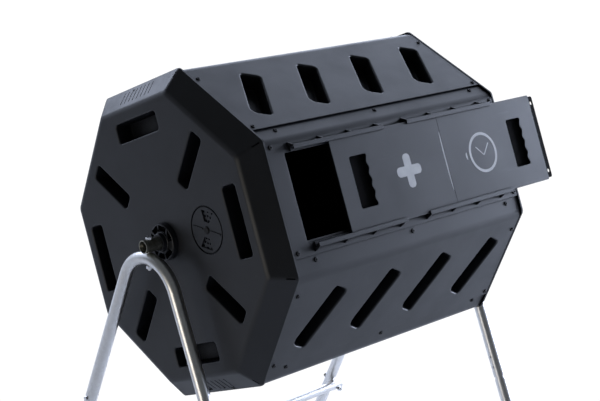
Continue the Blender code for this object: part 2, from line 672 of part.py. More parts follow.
def divider_mesh():
    """Eight-sided wall across the drum, z along the axle, with a flange for the panel screws."""
    outer = (SKIRT_APOTHEM - DIVIDER_CLEARANCE) / math.cos(HALF_ANGLE)
    half = DIVIDER_WALL / 2
    bore = HUB_SPIGOT + HOLE_CLEARANCE
    rim = outer - DIVIDER_RIM
    profile = [(BLANK_START, half), (outer, half), (outer, -DIVIDER_FLANGE),
               (rim, -DIVIDER_FLANGE), (rim, -half), (BLANK_START, -half)]
    wall = turned("divider blank", profile, SIDES)
    boolean(wall, "DIFFERENCE", add_cutter("divider bore", finish_mesh(
        cylinder(bore, -THROUGH, THROUGH, ROUND_SIDES), "divider bore")))
    return settled_mesh(wall, "centre divider")


def divider_bush_mesh():
    half = DIVIDER_WALL / 2
    top, flange_top, low = half + BUSH_SLEEVE, half + BUSH_FLANGE_DEPTH, -half - SPIGOT_REACH
    profile = [(BORE_RADIUS, top), (HUB_SLEEVE, top), (HUB_SLEEVE, flange_top),
               (DIVIDER_BUSH_FLANGE, flange_top), (DIVIDER_BUSH_FLANGE, half + GAP),
               (HUB_SPIGOT, half + GAP), (HUB_SPIGOT, low), (BORE_RADIUS, low)]
    return settled_mesh(turned("divider bush blank", profile, ROUND_SIDES), "divider bush")


def vent_dial_mesh():
    """Disc with two opposite windows and a finger rib, z = 0 at its underside."""
    dial = turned("vent blank", [(VENT_PIVOT + HOLE_CLEARANCE, VENT_THICKNESS),
                                 (VENT_RADIUS - VENT_EDGE, VENT_THICKNESS),
                                 (VENT_RADIUS, VENT_THICKNESS - VENT_EDGE), (VENT_RADIUS, 0),
                                 (VENT_PIVOT + HOLE_CLEARANCE, 0)], DIAL_SIDES)
    windows = []
    for side in (0, math.pi):
        start, end = side - VENT_WINDOW / 2, side + VENT_WINDOW / 2
        inner = arc((0, 0), VENT_WINDOW_INNER, end, start, 3)
        outer = arc((0, 0), VENT_RADIUS - VENT_RIM, start, end, 6)
        windows.append(prism(inner + outer, -PAST, VENT_THICKNESS + PAST))
    rib_low = (VENT_RIB_START, -VENT_RIB_WIDTH / 2, VENT_THICKNESS / 2)
    rib_high = (VENT_RADIUS - VENT_RIB_END, VENT_RIB_WIDTH / 2, VENT_THICKNESS + VENT_RIB_HEIGHT)
    ribs = [moved(box(rib_low, rib_high), turn_z(angle)) for angle in (90, 270)]
    boolean(dial, "DIFFERENCE",
            add_cutter("vent windows", finish_mesh(joined(windows), "windows")))
    boolean(dial, "UNION", add_cutter("vent ribs", finish_mesh(joined(ribs), "vent ribs")))
    return settled_mesh(dial, "vent dial")


def vent_pivot_mesh():
    """Rivet through the dial and the end panel, z = 0 at the dial's underside."""
    top, low = VENT_THICKNESS + GAP, -GAP - POCKET_FLOOR - GAP
    head, tail, end = top + RIVET_HEAD, VENT_PIVOT + RIVET_TAIL, -POCKET_FLOOR - RIVET_TAIL
    profile = [(0, head), (VENT_PIVOT_HEAD - RIVET_EDGE[0], head),
               (VENT_PIVOT_HEAD, head - RIVET_EDGE[1]), (VENT_PIVOT_HEAD, top),
               (VENT_PIVOT, top), (VENT_PIVOT, low), (tail, low), (tail, end), (0, end)]
    bm = bmesh.new()
    corners = [bm.verts.new((r, 0, z)) for r, z in profile]
    edges = [bm.edges.new(pair) for pair in zip(corners, corners[1:])]
    bmesh.ops.spin(bm, geom=corners + edges, cent=(0, 0, 0), axis=(0, 0, 1), dvec=(0, 0, 0),
                   angle=2 * math.pi, steps=12, use_merge=True)
    bmesh.ops.remove_doubles(bm, verts=bm.verts, dist=1e-6)
    return finish_mesh(bm, "vent pivot")


# ---------------------------------------------------------------- tubes and fasteners
def straight_tube_mesh(name, sections, sides=TUBE_SIDES):
    """Hollow tube along Z from (z, outer radius, inner radius) sections, top first."""
    outside = [(outer, z) for z, outer, inner in sections]
    inside = [(inner, z) for z, outer, inner in reversed(sections)]
    return settled_mesh(turned(name, outside + inside, sides), name)


def drill(mesh, holes):
    """Round holes through a mesh; each is (centre, direction, radius, half length)."""
    part = scratch(mesh.name, mesh)
    drills = []
    for centre, direction, radius, reach in holes:
        place = (Matrix.Translation(centre)
                 @ Vector(direction).to_track_quat("Z", "Y").to_matrix().to_4x4())
        drills.append(moved(cylinder(radius, -reach, reach, HOLE_SIDES), place))
    name = mesh.name + " holes"
    boolean(part, "DIFFERENCE", add_cutter(name, finish_mesh(joined(drills), name)))
    return settled_mesh(part, mesh.name)


def hairpin_points(drop_to):
    """Centre line of an upper leg in its own plane: (y, z) below the axle's centre."""
    rise = LEG_HALF_GAP / math.tan(LEG_ANGLE)        # where the two straight runs would meet
    radius = (rise + APEX_DROP) / (1 / math.sin(LEG_ANGLE) - 1)
    centre_z = -APEX_DROP - radius
    bend = arc((0, centre_z), radius, LEG_ANGLE, math.pi - LEG_ANGLE, 10)
    end_y = LEG_HALF_GAP + drop_to * math.tan(LEG_ANGLE)
    return [(end_y, -drop_to), *bend, (-end_y, -drop_to)]


def bent_tube_mesh(name, points, radius, overshoot=0.0):
    """A curve's round tube as a mesh; points are (y, z) in the plane x = 0."""
    path = [Vector((0, y, z)) for y, z in points]
    if overshoot:
        path[0] += (path[0] - path[1]).normalized() * overshoot
        path[-1] += (path[-1] - path[-2]).normalized() * overshoot
    curve = bpy.data.curves.new(name, "CURVE")
    curve.dimensions = "3D"
    curve.bevel_depth = radius
    curve.bevel_resolution = TUBE_SIDES // 2 - 2
    curve.use_fill_caps = True
    spline = curve.splines.new("POLY")
    spline.points.add(len(path) - 1)
    for point, place in zip(spline.points, path):
        point.co = (*place, 1)
    return settled_mesh(scratch(name, curve), name)


def upper_leg_mesh():
    drop = AXLE_HEIGHT - LEG_JOINT_HEIGHT
    points = hairpin_points(drop)
    leg = scratch("upper leg", bent_tube_mesh("upper leg", points, TUBE_RADIUS))
    bore = bent_tube_mesh("upper leg bore", points, TUBE_RADIUS - TUBE_WALL, 0.01)
    boolean(leg, "DIFFERENCE", add_cutter("upper leg bore", bore))
    mesh = settled_mesh(leg, "upper leg")
    holes = [(Vector((0, 0, -APEX_DROP)), (0, 0, 1), BOLT_RADIUS + HOLE_CLEARANCE, DRILL_REACH)]
    for side in (-1, 1):
        for place in leg_bolt_places(side):
            holes.append((place - Vector((0, 0, AXLE_HEIGHT)), (1, 0, 0),
                          LEG_BOLT_RADIUS + HOLE_CLEARANCE, DRILL_REACH))
    return drill(mesh, holes)


def leg_direction(side):
    """Down the leg, in the plane of the pair."""
    return Vector((0, side * math.sin(LEG_ANGLE), -math.cos(LEG_ANGLE)))


def on_leg(side, height):
    """The point of a leg's centre line at a height above the floor (x = 0)."""
    y = LEG_HALF_GAP + (AXLE_HEIGHT - height) * math.tan(LEG_ANGLE)
    return Vector((0, side * y, height))


def leg_bolt_places(side):
    """The two bolts of a leg joint, in the middle of the swaged length."""
    middle = on_leg(side, LEG_JOINT_HEIGHT) - leg_direction(side) * SWAGE_LENGTH / 2
    return [middle + leg_direction(side) * LEG_BOLT_PITCH * s for s in (-0.5, 0.5)]


def lower_leg_mesh():
    """Along Z, z = 0 at the joint: full tube below it, swaged end above it."""
    length = LEG_JOINT_HEIGHT / math.cos(LEG_ANGLE) - FOOT_FLOOR - GAP
    swage = (TUBE_RADIUS - TUBE_WALL) * math.cos(math.pi / TUBE_SIDES) - SWAGE_CLEARANCE
    sections = [(SWAGE_LENGTH, swage, swage - TUBE_WALL),
                (-GAP, swage, swage - TUBE_WALL),
                (-SWAGE_SHOULDER, TUBE_RADIUS, TUBE_RADIUS - TUBE_WALL),
                (-length, TUBE_RADIUS, TUBE_RADIUS - TUBE_WALL)]
    mesh = straight_tube_mesh("lower leg", sections)
    holes = [((0, 0, SWAGE_LENGTH / 2 + LEG_BOLT_PITCH * s), (1, 0, 0),
              LEG_BOLT_RADIUS + HOLE_CLEARANCE, DRILL_REACH) for s in (-0.5, 0.5)]
    bar_z = -(LEG_JOINT_HEIGHT - CROSS_BAR_HEIGHT) / math.cos(LEG_ANGLE)
    holes.append(((0, 0, bar_z), (0, 1, 0), BOLT_RADIUS + HOLE_CLEARANCE, DRILL_REACH))
    return drill(mesh, holes)


def foot_cap_mesh(side):
    """Cup round the leg's end, turned to the leg and cut flat at the floor."""
    outer = TUBE_RADIUS + GAP * 1.5 + FOOT_WALL
    inner = TUBE_RADIUS + GAP * 1.5
    bm = cylinder(outer, -0.02, FOOT_LENGTH, 20)
    cap = scratch("foot cap blank", finish_mesh(bm, "foot cap"))
    bore = finish_mesh(cylinder(inner / math.cos(math.pi / 20), FOOT_FLOOR,
                                FOOT_LENGTH + THROUGH, 20), "foot bore")
    boolean(cap, "DIFFERENCE", add_cutter(f"foot bore {side}", bore))
    tilt = Matrix.Rotation(side * LEG_ANGLE, 4, "X")
    floor = moved(box((-0.05, -0.05, -0.06), (0.05, 0.05, 0)), tilt.inverted())
    boolean(cap, "DIFFERENCE", add_cutter(f"foot floor {side}", finish_mesh(floor, "foot floor")))
    return settled_mesh(cap, "foot cap")


def cross_bar_mesh():
    half = LEG_X + CROSS_BAR_OVERHANG
    sections = [(half, CROSS_BAR_RADIUS, CROSS_BAR_RADIUS - TUBE_WALL),
                (-half, CROSS_BAR_RADIUS, CROSS_BAR_RADIUS - TUBE_WALL)]
    mesh = straight_tube_mesh("cross bar", sections)
    return drill(mesh, [((0, 0, side * LEG_X), (0, 1, 0), BOLT_RADIUS + HOLE_CLEARANCE, DRILL_REACH)
                        for side in (-1, 1)])


def bolt_mesh(name, radius, head_radius, head_height, length):
    """Hexagon-headed bolt, head above z = 0 and shank below."""
    bm = cylinder(head_radius, GAP, head_height, 6)
    bolt = scratch(name, finish_mesh(bm, name, 20))
    shank = finish_mesh(cylinder(radius, -length, head_height / 2, HOLE_SIDES), name + " shank")
    boolean(bolt, "UNION", add_cutter(name + " shank", shank))
    return settled_mesh(bolt, name)


def nut_mesh():
    """Hexagon nut below z = 0."""
    blank = cylinder(BOLT_HEAD_RADIUS, -NUT_HEIGHT - GAP, -GAP, 6)
    nut = scratch("nut", finish_mesh(blank, "nut", 20))
    bore = finish_mesh(cylinder(BOLT_RADIUS + GAP * 1.2, -NUT_HEIGHT - PAST, PAST, HOLE_SIDES),
                       "nut bore")
    boolean(nut, "DIFFERENCE", add_cutter("nut bore", bore))
    return settled_mesh(nut, "nut")


# ---------------------------------------------------------------- assembly
def build_drum(root):
    axis = make_empty("drum_axis", root, (0, 0, AXLE_HEIGHT))
    end_mesh = end_panel_mesh()
    hub = hub_mesh()
    dial = vent_dial_mesh()
    pivot = vent_pivot_mesh()
    for side, name, spin in ((-1, "left", 0.0), (1, "right", math.pi)):
        outward = (0, -math.pi / 2, spin)
        end = make_empty(f"end_{name}", axis, (side * DRUM_LENGTH / 2, 0, 0), outward)
        add_part(f"end_panel_{name}", end_mesh, plastic, end)
        add_part(f"hub_bushing_{name}", hub, plastic, end, (0, 0, CAP_DEPTH))
        seat = vent_centre() + Vector((0, 0, CAP_DEPTH - VENT_RECESS + GAP))
        vent = make_empty(f"vent_axis_{name}", end, seat)
        add_part(f"vent_dial_{name}", dial, plastic, vent)
        add_part(f"vent_pivot_{name}", pivot, plastic, vent)

    side_mesh = side_panel_mesh()
    number = 0
    for i in range(SIDES):
        angle = math.degrees(HALF_ANGLE) * (2 * i + 1)
        turn = (math.radians(angle), 0, 0)
        if abs(angle - DOOR_FACE) < 1:
            add_part("door_frame_panel", door_frame_mesh(), plastic, axis, rotation=turn)
        else:
            number += 1
            add_part(f"side_panel_{number}", side_mesh, plastic, axis, rotation=turn)

    add_part("centre_divider", divider_mesh(), plastic, axis, rotation=(0, math.pi / 2, 0))
    add_part("divider_bush", divider_bush_mesh(), plastic, axis, rotation=(0, math.pi / 2, 0))

    face = make_empty("door_face", axis, rotation=(math.radians(DOOR_FACE), 0, 0))
    slide = make_empty("door_slide", face, (DOOR_MIDDLE + DOOR_OUT, -DOOR_V, DOOR_W))
    add_part("door_left", door_half_mesh("door left", GRIP_LEFT, False), door_plastic, slide,
             (-DOOR_HALF, 0, 0))
    add_part("door_right", door_half_mesh("door right", DOOR_HALF - GRIP_RIGHT, True),
             door_plastic, slide, (0, 0, 0))


def build_stand(root):
    stand = make_empty("stand", root)
    tube = straight_tube_mesh("axle tube", [
        (AXLE_LENGTH / 2, TUBE_RADIUS, TUBE_RADIUS - TUBE_WALL),
        (-AXLE_LENGTH / 2, TUBE_RADIUS, TUBE_RADIUS - TUBE_WALL)], ROUND_SIDES)
    tube = drill(tube, [((0, 0, side * LEG_X), (1, 0, 0), BOLT_RADIUS + HOLE_CLEARANCE, DRILL_REACH)
                        for side in (-1, 1)])
    add_part("axle_tube", tube, axle_steel, stand, (0, 0, AXLE_HEIGHT), (0, math.pi / 2, 0))

    upper = upper_leg_mesh()
    lower = lower_leg_mesh()
    caps = {side: foot_cap_mesh(side) for side in (-1, 1)}
    leg_bolt = bolt_mesh("leg bolt", LEG_BOLT_RADIUS, LEG_BOLT_HEAD_RADIUS, LEG_BOLT_HEAD,
                         2 * TUBE_RADIUS + LEG_BOLT_TIP)
    axle_bolt = bolt_mesh("axle bolt", BOLT_RADIUS, BOLT_HEAD_RADIUS, BOLT_HEAD_HEIGHT,
                          4 * TUBE_RADIUS + NUT_HEIGHT + BOLT_TIP)
    bar_bolt = bolt_mesh("bar bolt", BOLT_RADIUS, BOLT_HEAD_RADIUS, BOLT_HEAD_HEIGHT,
                         2 * (TUBE_RADIUS + CROSS_BAR_RADIUS) + NUT_HEIGHT + BOLT_TIP)
    nut = nut_mesh()

    for x_side, end in ((-1, "left"), (1, "right")):
        x = x_side * LEG_X
        add_part(f"upper_leg_{end}", upper, zinc, stand, (x, 0, AXLE_HEIGHT))
        top = AXLE_HEIGHT + TUBE_RADIUS
        add_part(f"axle_bolt_{end}", axle_bolt, bright_zinc, stand, (x, 0, top))
        under = AXLE_HEIGHT - APEX_DROP - TUBE_RADIUS - BEND_SEAT
        add_part(f"axle_nut_{end}", nut, bright_zinc, stand, (x, 0, under))

        for side, where in ((-1, "front"), (1, "rear")):
            label = f"{where}_{end}"
            tilt = (side * LEG_ANGLE, 0, 0)
            place = on_leg(side, LEG_JOINT_HEIGHT) + Vector((x, 0, 0))
            add_part(f"lower_leg_{label}", lower, zinc, stand, place, tilt)
            add_part(f"foot_cap_{label}", caps[side], rubber, stand,
                     on_leg(side, 0) + Vector((x, 0, 0)), tilt)
            for number, bolt_place in enumerate(leg_bolt_places(side), 1):
                head = bolt_place + Vector((x + x_side * TUBE_RADIUS, 0, 0))
                add_part(f"leg_bolt_{label}_{number}", leg_bolt, bright_zinc, stand, head,
                         (0, x_side * math.pi / 2, 0))

            # the bar lies against the inner side of both lower legs
            inward = Vector((0, -side * math.cos(LEG_ANGLE), -math.sin(LEG_ANGLE)))
            crossing = on_leg(side, CROSS_BAR_HEIGHT) + Vector((x, 0, 0))
            head = crossing - inward * TUBE_RADIUS
            facing = (-inward).to_track_quat("Z", "X").to_euler()
            add_part(f"bar_bolt_{label}", bar_bolt, bright_zinc, stand, head, facing)
            end_place = crossing + inward * (TUBE_RADIUS + GAP + 2 * CROSS_BAR_RADIUS)
            add_part(f"bar_nut_{label}", nut, bright_zinc, stand, end_place, facing)

    bar = cross_bar_mesh()
    for side, where in ((-1, "front"), (1, "rear")):
        inward = Vector((0, -side * math.cos(LEG_ANGLE), -math.sin(LEG_ANGLE)))
        place = on_leg(side, CROSS_BAR_HEIGHT) + inward * (TUBE_RADIUS + CROSS_BAR_RADIUS + GAP)
        # the bar's length runs along X, its bolt holes along the leg's normal
        along = Vector((1, 0, 0))
        frame = Matrix((inward.cross(along), inward, along)).transposed()
        add_part(f"cross_bar_{where}", bar, zinc, stand, place, frame.to_euler())


for leftover in list(bpy.data.objects):
    bpy.data.objects.remove(leftover, do_unlink=True)

parts = new_collection("compost_tumbler")
cutters = new_collection("cutters")
plastic = make_material("black plastic", (0.022, 0.024, 0.028), 0.42)
door_plastic = make_material("door plastic", (0.050, 0.052, 0.056), 0.40)
rubber = make_material("foot rubber", (0.015, 0.015, 0.016), 0.65)
zinc = make_material("galvanised steel", (0.62, 0.61, 0.58), 0.32, 1.0)
axle_steel = make_material("axle steel", (0.16, 0.15, 0.12), 0.45, 1.0)
bright_zinc = make_material("bright zinc", (0.80, 0.80, 0.82), 0.25, 1.0)

tumbler = make_empty("tumbler", None, (AXLE_SHIFT, 0, 0))
build_drum(tumbler)
build_stand(tumbler)
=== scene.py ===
# Compost tumbler: finer shapes, finishes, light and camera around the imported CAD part.
# Sizes are in metres; the axle lies along X and the door faces -Y.
import math

import bmesh
import bpy
from mathutils import Matrix, Vector


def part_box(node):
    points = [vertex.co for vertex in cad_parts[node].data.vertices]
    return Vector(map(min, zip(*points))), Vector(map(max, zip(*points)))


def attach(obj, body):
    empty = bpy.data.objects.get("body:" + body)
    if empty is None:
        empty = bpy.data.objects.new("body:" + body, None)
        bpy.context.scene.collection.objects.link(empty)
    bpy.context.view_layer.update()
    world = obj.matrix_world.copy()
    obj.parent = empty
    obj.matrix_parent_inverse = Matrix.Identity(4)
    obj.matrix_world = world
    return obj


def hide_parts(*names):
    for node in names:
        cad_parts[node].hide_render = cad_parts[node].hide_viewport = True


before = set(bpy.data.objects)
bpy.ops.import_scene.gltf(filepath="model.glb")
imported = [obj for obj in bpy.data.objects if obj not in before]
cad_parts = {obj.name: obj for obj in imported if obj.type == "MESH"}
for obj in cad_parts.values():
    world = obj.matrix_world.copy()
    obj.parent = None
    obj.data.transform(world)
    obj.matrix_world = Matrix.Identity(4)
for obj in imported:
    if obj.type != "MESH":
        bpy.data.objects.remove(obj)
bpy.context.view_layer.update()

gap = 0.0003  # between pieces that touch
near = 1e-5  # places closer than this are one place
nearPlane = 5e-5  # and this close to a flat face they lie in it
sameWay = 0.9999  # the least cosine between directions that count as one
turnAngle = math.pi / 4  # between two sides of the drum
halfTurn = turnAngle / 2

leftEnd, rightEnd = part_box("end_panel_left"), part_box("end_panel_right")
drumMiddle = Vector(((leftEnd[0].x + rightEnd[1].x) / 2, 0, (leftEnd[0].z + leftEnd[1].z) / 2))
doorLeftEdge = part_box("door_left")[0].x - drumMiddle.x
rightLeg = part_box("upper_leg_right")
legX = (rightLeg[0].x + rightLeg[1].x) / 2 - drumMiddle.x


def turned(degrees, axis="X"):
    return Matrix.Rotation(math.radians(degrees), 4, axis)


def moved(x=0.0, y=0.0, z=0.0):
    return Matrix.Translation((x, y, z))


def onSide(degrees):  # a drawing of a side that faces up -> that side of the drum
    return Matrix.Translation(drumMiddle) @ turned(degrees)


def onEnd(side):  # a drawing with outward along +Z and up along +X -> that end
    spin = 0 if side < 0 else 180
    return (Matrix.Translation(drumMiddle) @ moved(side * drum["length"] / 2)
            @ turned(spin, "Z") @ turned(-90, "Y"))


# finishes: all of them read Object coordinates
def newMaterial(name):
    material = bpy.data.materials.new(name)
    material.use_nodes = True
    return material, material.node_tree.nodes, material.node_tree.links


def addNoise(nodes, links, coords, scale, detail=3.0, roughness=0.55, stretch=None):
    noise = nodes.new("ShaderNodeTexNoise")
    noise.inputs["Scale"].default_value = scale
    noise.inputs["Detail"].default_value = detail
    noise.inputs["Roughness"].default_value = roughness
    source = coords.outputs["Object"]
    if stretch:
        mapping = nodes.new("ShaderNodeMapping")
        mapping.inputs["Scale"].default_value = stretch
        links.new(source, mapping.inputs["Vector"])
        source = mapping.outputs["Vector"]
    links.new(source, noise.inputs["Vector"])
    return noise


def addRange(nodes, links, source, low, high, fromLow=0.3, fromHigh=0.7):
    ranged = nodes.new("ShaderNodeMapRange")
    ranged.inputs["From Min"].default_value = fromLow
    ranged.inputs["From Max"].default_value = fromHigh
    ranged.inputs["To Min"].default_value = low
    ranged.inputs["To Max"].default_value = high
    links.new(source, ranged.inputs["Value"])
    return ranged


def addMix(nodes, links, factor, first, second):
    mix = nodes.new("ShaderNodeMix")
    mix.data_type = "RGBA"
    links.new(factor, mix.inputs["Factor"])
    for socket, value in ((mix.inputs["A"], first), (mix.inputs["B"], second)):
        if isinstance(value, tuple):
            socket.default_value = (*value, 1)
        else:
            links.new(value, socket)
    return mix


def addBump(nodes, links, height, strength, distance, under=None):
    bump = nodes.new("ShaderNodeBump")
    bump.inputs["Strength"].default_value = strength
    bump.inputs["Distance"].default_value = distance
    links.new(height, bump.inputs["Height"])
    if under:
        links.new(under.outputs["Normal"], bump.inputs["Normal"])
    return bump


paintedHollowShade = (  # painted shade: openness from dark to clear turns the gloss from least to most; both multiply
    {"ownOnly": True, "reach": 0.05, "dark": 0.38, "clear": 0.75, "least": 0.0, "most": 0.5},
    {"ownOnly": False, "reach": 0.006, "dark": 0.45, "clear": 0.85, "least": 0.1, "most": 1.0})


def mouldedPlastic(name, values):
    material, nodes, links = newMaterial(name)
    shader = nodes["Principled BSDF"]
    coords = nodes.new("ShaderNodeTexCoord")
    cloud = addNoise(nodes, links, coords, values["cloudScale"], detail=4)
    patch = addRange(nodes, links, cloud.outputs["Fac"], 0, 1)
    base = addMix(nodes, links, patch.outputs["Result"], values["dark"], values["light"])
    # faint pale scuffs, long in one direction
    scuff = addNoise(nodes, links, coords, values["scuffScale"], detail=6, roughness=0.7,
                     stretch=(0.12, 1.0, 1.0))
    scuffed = addRange(nodes, links, scuff.outputs["Fac"], 0, values["scuff"], fromLow=0.62,
                       fromHigh=0.78)
    worn = addMix(nodes, links, scuffed.outputs["Result"], base.outputs["Result"],
                  values["scuffColour"])
    links.new(worn.outputs["Result"], shader.inputs["Base Color"])
    sheen = addNoise(nodes, links, coords, values["sheenScale"], detail=5, roughness=0.6)
    rough = addRange(nodes, links, sheen.outputs["Fac"], *values["roughness"])
    links.new(rough.outputs["Result"], shader.inputs["Roughness"])
    # moulded grain: small pebbles over fine noise
    pebble = nodes.new("ShaderNodeTexVoronoi")
    pebble.feature = "SMOOTH_F1"
    pebble.inputs["Scale"].default_value = values["grainScale"]
    links.new(coords.outputs["Object"], pebble.inputs["Vector"])
    fine = addNoise(nodes, links, coords, values["grainScale"] * 2.3, detail=2)
    first = addBump(nodes, links, fine.outputs["Fac"], values["grain"] * 0.6, distance=0.0001)
    second = addBump(nodes, links, pebble.outputs["Distance"], values["grain"], distance=0.0003,
                     under=first)
    waves = addNoise(nodes, links, coords, values["waveScale"], detail=2)
    third = addBump(nodes, links, waves.outputs["Fac"], values["wave"], distance=0.01,
                    under=second)
    links.new(third.outputs["Normal"], shader.inputs["Normal"])
    shader.inputs["IOR"].default_value = values["ior"]
    # painted shade: ambient occlusion turns the gloss down in pockets and in the corners under
    # overlapping sheets, so these give back little light
    paintedShadeGloss = nodes.new("ShaderNodeMath")
    paintedShadeGloss.operation = "MULTIPLY"
    for socket, hollow in zip(paintedShadeGloss.inputs, paintedHollowShade):
        openness = nodes.new("ShaderNodeAmbientOcclusion")
        openness.samples = 6
        openness.only_local = hollow["ownOnly"]
        openness.inputs["Distance"].default_value = hollow["reach"]
        level = addRange(nodes, links, openness.outputs["AO"], hollow["least"], hollow["most"],
                         fromLow=hollow["dark"], fromHigh=hollow["clear"])
        links.new(level.outputs["Result"], socket)
    links.new(paintedShadeGloss.outputs["Value"], shader.inputs["Specular IOR Level"])
    return material


def galvanisedSteel(name, values):
    material, nodes, links = newMaterial(name)
    shader = nodes["Principled BSDF"]
    shader.inputs["Metallic"].default_value = 1
    coords = nodes.new("ShaderNodeTexCoord")
    spangle = nodes.new("ShaderNodeTexVoronoi")
    spangle.inputs["Scale"].default_value = values["spangleScale"]
    links.new(coords.outputs["Object"], spangle.inputs["Vector"])
    crystal = nodes.new("ShaderNodeSeparateColor")
    links.new(spangle.outputs["Color"], crystal.inputs["Color"])
    base = addMix(nodes, links, crystal.outputs["Red"], values["dark"], values["light"])
    stain = addNoise(nodes, links, coords, values["stainScale"], detail=6, roughness=0.65)
    stained = addRange(nodes, links, stain.outputs["Fac"], 0, values["stain"], fromLow=0.5,
                       fromHigh=0.75)
    worn = addMix(nodes, links, stained.outputs["Result"], base.outputs["Result"],
                  values["stainColour"])
    links.new(worn.outputs["Result"], shader.inputs["Base Color"])
    low, high = values["roughness"]
    rough = addRange(nodes, links, crystal.outputs["Green"], low, high, fromLow=0, fromHigh=1)
    links.new(rough.outputs["Result"], shader.inputs["Roughness"])
    fine = addNoise(nodes, links, coords, values["spangleScale"] * 1.5, detail=2)
    bump = addBump(nodes, links, fine.outputs["Fac"], values["bump"], distance=0.0002)
    links.new(bump.outputs["Normal"], shader.inputs["Normal"])
    return material


panelPlastic = mouldedPlastic("black moulded polypropylene", {
    "dark": (0.0065, 0.0070, 0.0088), "light": (0.0110, 0.0120, 0.0150), "cloudScale": 9,
    "scuffColour": (0.060, 0.062, 0.068), "scuff": 0.25, "scuffScale": 55,
    "sheenScale": 14, "roughness": (0.36, 0.46), "grainScale": 900, "grain": 0.10,
    "waveScale": 7, "wave": 0.05, "ior": 1.50})
doorPlastic = mouldedPlastic("charcoal door polypropylene", {
    "dark": (0.024, 0.025, 0.027), "light": (0.034, 0.035, 0.038), "cloudScale": 11,
    "scuffColour": (0.11, 0.11, 0.115), "scuff": 0.2, "scuffScale": 70,
    "sheenScale": 18, "roughness": (0.30, 0.38), "grainScale": 1300, "grain": 0.05,
    "waveScale": 6, "wave": 0.04, "ior": 1.50})
# painted shade: a near-black, rough and dull copy of the door plastic, so the grip cups, the door
# tongue and its neck look shaded
paintedShadePlastic = mouldedPlastic("door plastic darkened as painted shade", {
    "dark": (0.004, 0.004, 0.004), "light": (0.006, 0.006, 0.006), "cloudScale": 30,
    "scuffColour": (0.02, 0.02, 0.02), "scuff": 0.2, "scuffScale": 90,
    "sheenScale": 30, "roughness": (0.70, 0.85), "grainScale": 1300, "grain": 0.2,
    "waveScale": 20, "wave": 0.02, "ior": 1.15})
screwBlack = mouldedPlastic("blackened screw steel", {
    "dark": (0.003, 0.003, 0.003), "light": (0.010, 0.008, 0.007), "cloudScale": 160,
    "scuffColour": (0.06, 0.04, 0.03), "scuff": 0.4, "scuffScale": 400,
    "sheenScale": 300, "roughness": (0.45, 0.60), "grainScale": 2500, "grain": 0.1,
    "waveScale": 60, "wave": 0.02, "ior": 1.4})
printGrey = mouldedPlastic("pale grey print", {
    "dark": (0.56, 0.56, 0.56), "light": (0.68, 0.68, 0.67), "cloudScale": 60,
    "scuffColour": (0.34, 0.34, 0.35), "scuff": 0.4, "scuffScale": 160,
    "sheenScale": 40, "roughness": (0.48, 0.60), "grainScale": 1500, "grain": 0.08,
    "waveScale": 20, "wave": 0.02, "ior": 1.45})
footRubber = mouldedPlastic("foot rubber", {
    "dark": (0.010, 0.010, 0.011), "light": (0.020, 0.020, 0.020), "cloudScale": 40,
    "scuffColour": (0.12, 0.11, 0.10), "scuff": 0.6, "scuffScale": 120,
    "sheenScale": 60, "roughness": (0.60, 0.80), "grainScale": 1200, "grain": 0.2,
    "waveScale": 30, "wave": 0.03, "ior": 1.45})
galvanised = galvanisedSteel("galvanised tube", {
    "dark": (0.78, 0.77, 0.75), "light": (0.84, 0.835, 0.82), "spangleScale": 150,
    "stainColour": (0.66, 0.60, 0.50), "stain": 0.35, "stainScale": 12,
    "roughness": (0.30, 0.33), "bump": 0.01})
axleSteel = galvanisedSteel("dull axle steel", {
    "dark": (0.30, 0.30, 0.25), "light": (0.42, 0.41, 0.35), "spangleScale": 420,
    "stainColour": (0.10, 0.08, 0.055), "stain": 0.6, "stainScale": 60,
    "roughness": (0.34, 0.52), "bump": 0.2})
brightZinc = galvanisedSteel("bright zinc", {
    "dark": (0.78, 0.78, 0.78), "light": (0.90, 0.90, 0.92), "spangleScale": 600,
    "stainColour": (0.68, 0.64, 0.52), "stain": 0.3, "stainScale": 180,
    "roughness": (0.16, 0.28), "bump": 0.06})
print("finishes made")


# helpers that draw, cut, sink and settle any piece
def newVerts(made):
    return [item for item in made["geom"] if isinstance(item, bmesh.types.BMVert)]


def newEdges(made):
    return [item for item in made["geom"] if isinstance(item, bmesh.types.BMEdge)]


def roundedFace(bm, length, width, corners, place, segments=4):
    if not isinstance(corners, (list, tuple)):
        corners = [corners] * 4
    verts = bmesh.ops.create_grid(bm, x_segments=1, y_segments=1, size=0.5)["verts"]
    face = verts[0].link_faces[0]
    bmesh.ops.scale(bm, vec=(length, width, 1), verts=verts)
    bmesh.ops.transform(bm, matrix=place, verts=verts)
    for vert, corner in zip(verts, corners):
        made = bmesh.ops.bevel(bm, geom=[vert], offset=corner, affect="VERTICES",
                               segments=segments, profile=0.5, material=-1)
        face = made["verts"][0].link_faces[0]
    return face


def roundFace(bm, radius, place, segments=24):
    made = bmesh.ops.create_circle(bm, cap_ends=True, segments=segments, radius=radius)
    bmesh.ops.transform(bm, matrix=place, verts=made["verts"])
    return made["verts"][0].link_faces[0]


def cutOut(bm, *faces):
    bmesh.ops.delete(bm, geom=faces, context="FACES_ONLY")


rimBorder = 0.0012  # flat strip kept round a pocket's rounded rim


def wallSteps(rimRound, draft, depth, footRound, segments=4):
    # (inset, drop) steps: a flat border, a rounded rim, a drafted wall and a rounded foot
    steps = [(rimBorder, 0.0)]
    steep = math.pi / 2 - draft

    def bend(radius, start, end):
        for i in range(segments):
            a, b = (start + (end - start) * (i + k) / segments for k in (0, 1))
            sign = 1 if end > start else -1
            steps.append((sign * radius * (math.sin(b) - math.sin(a)),
                          -sign * radius * (math.cos(a) - math.cos(b))))

    bend(rimRound, 0, steep)
    rounded = (rimRound + footRound) * (1 - math.cos(steep))
    straight = depth - rounded
    steps.append((straight * math.tan(draft), -straight))
    bend(footRound, steep, 0)
    return steps


def sink(bm, face, steps):
    for inset, drop in steps:
        bmesh.ops.inset_region(bm, faces=[face], thickness=inset, depth=drop,
                               use_even_offset=True, use_boundary=True)
    return face


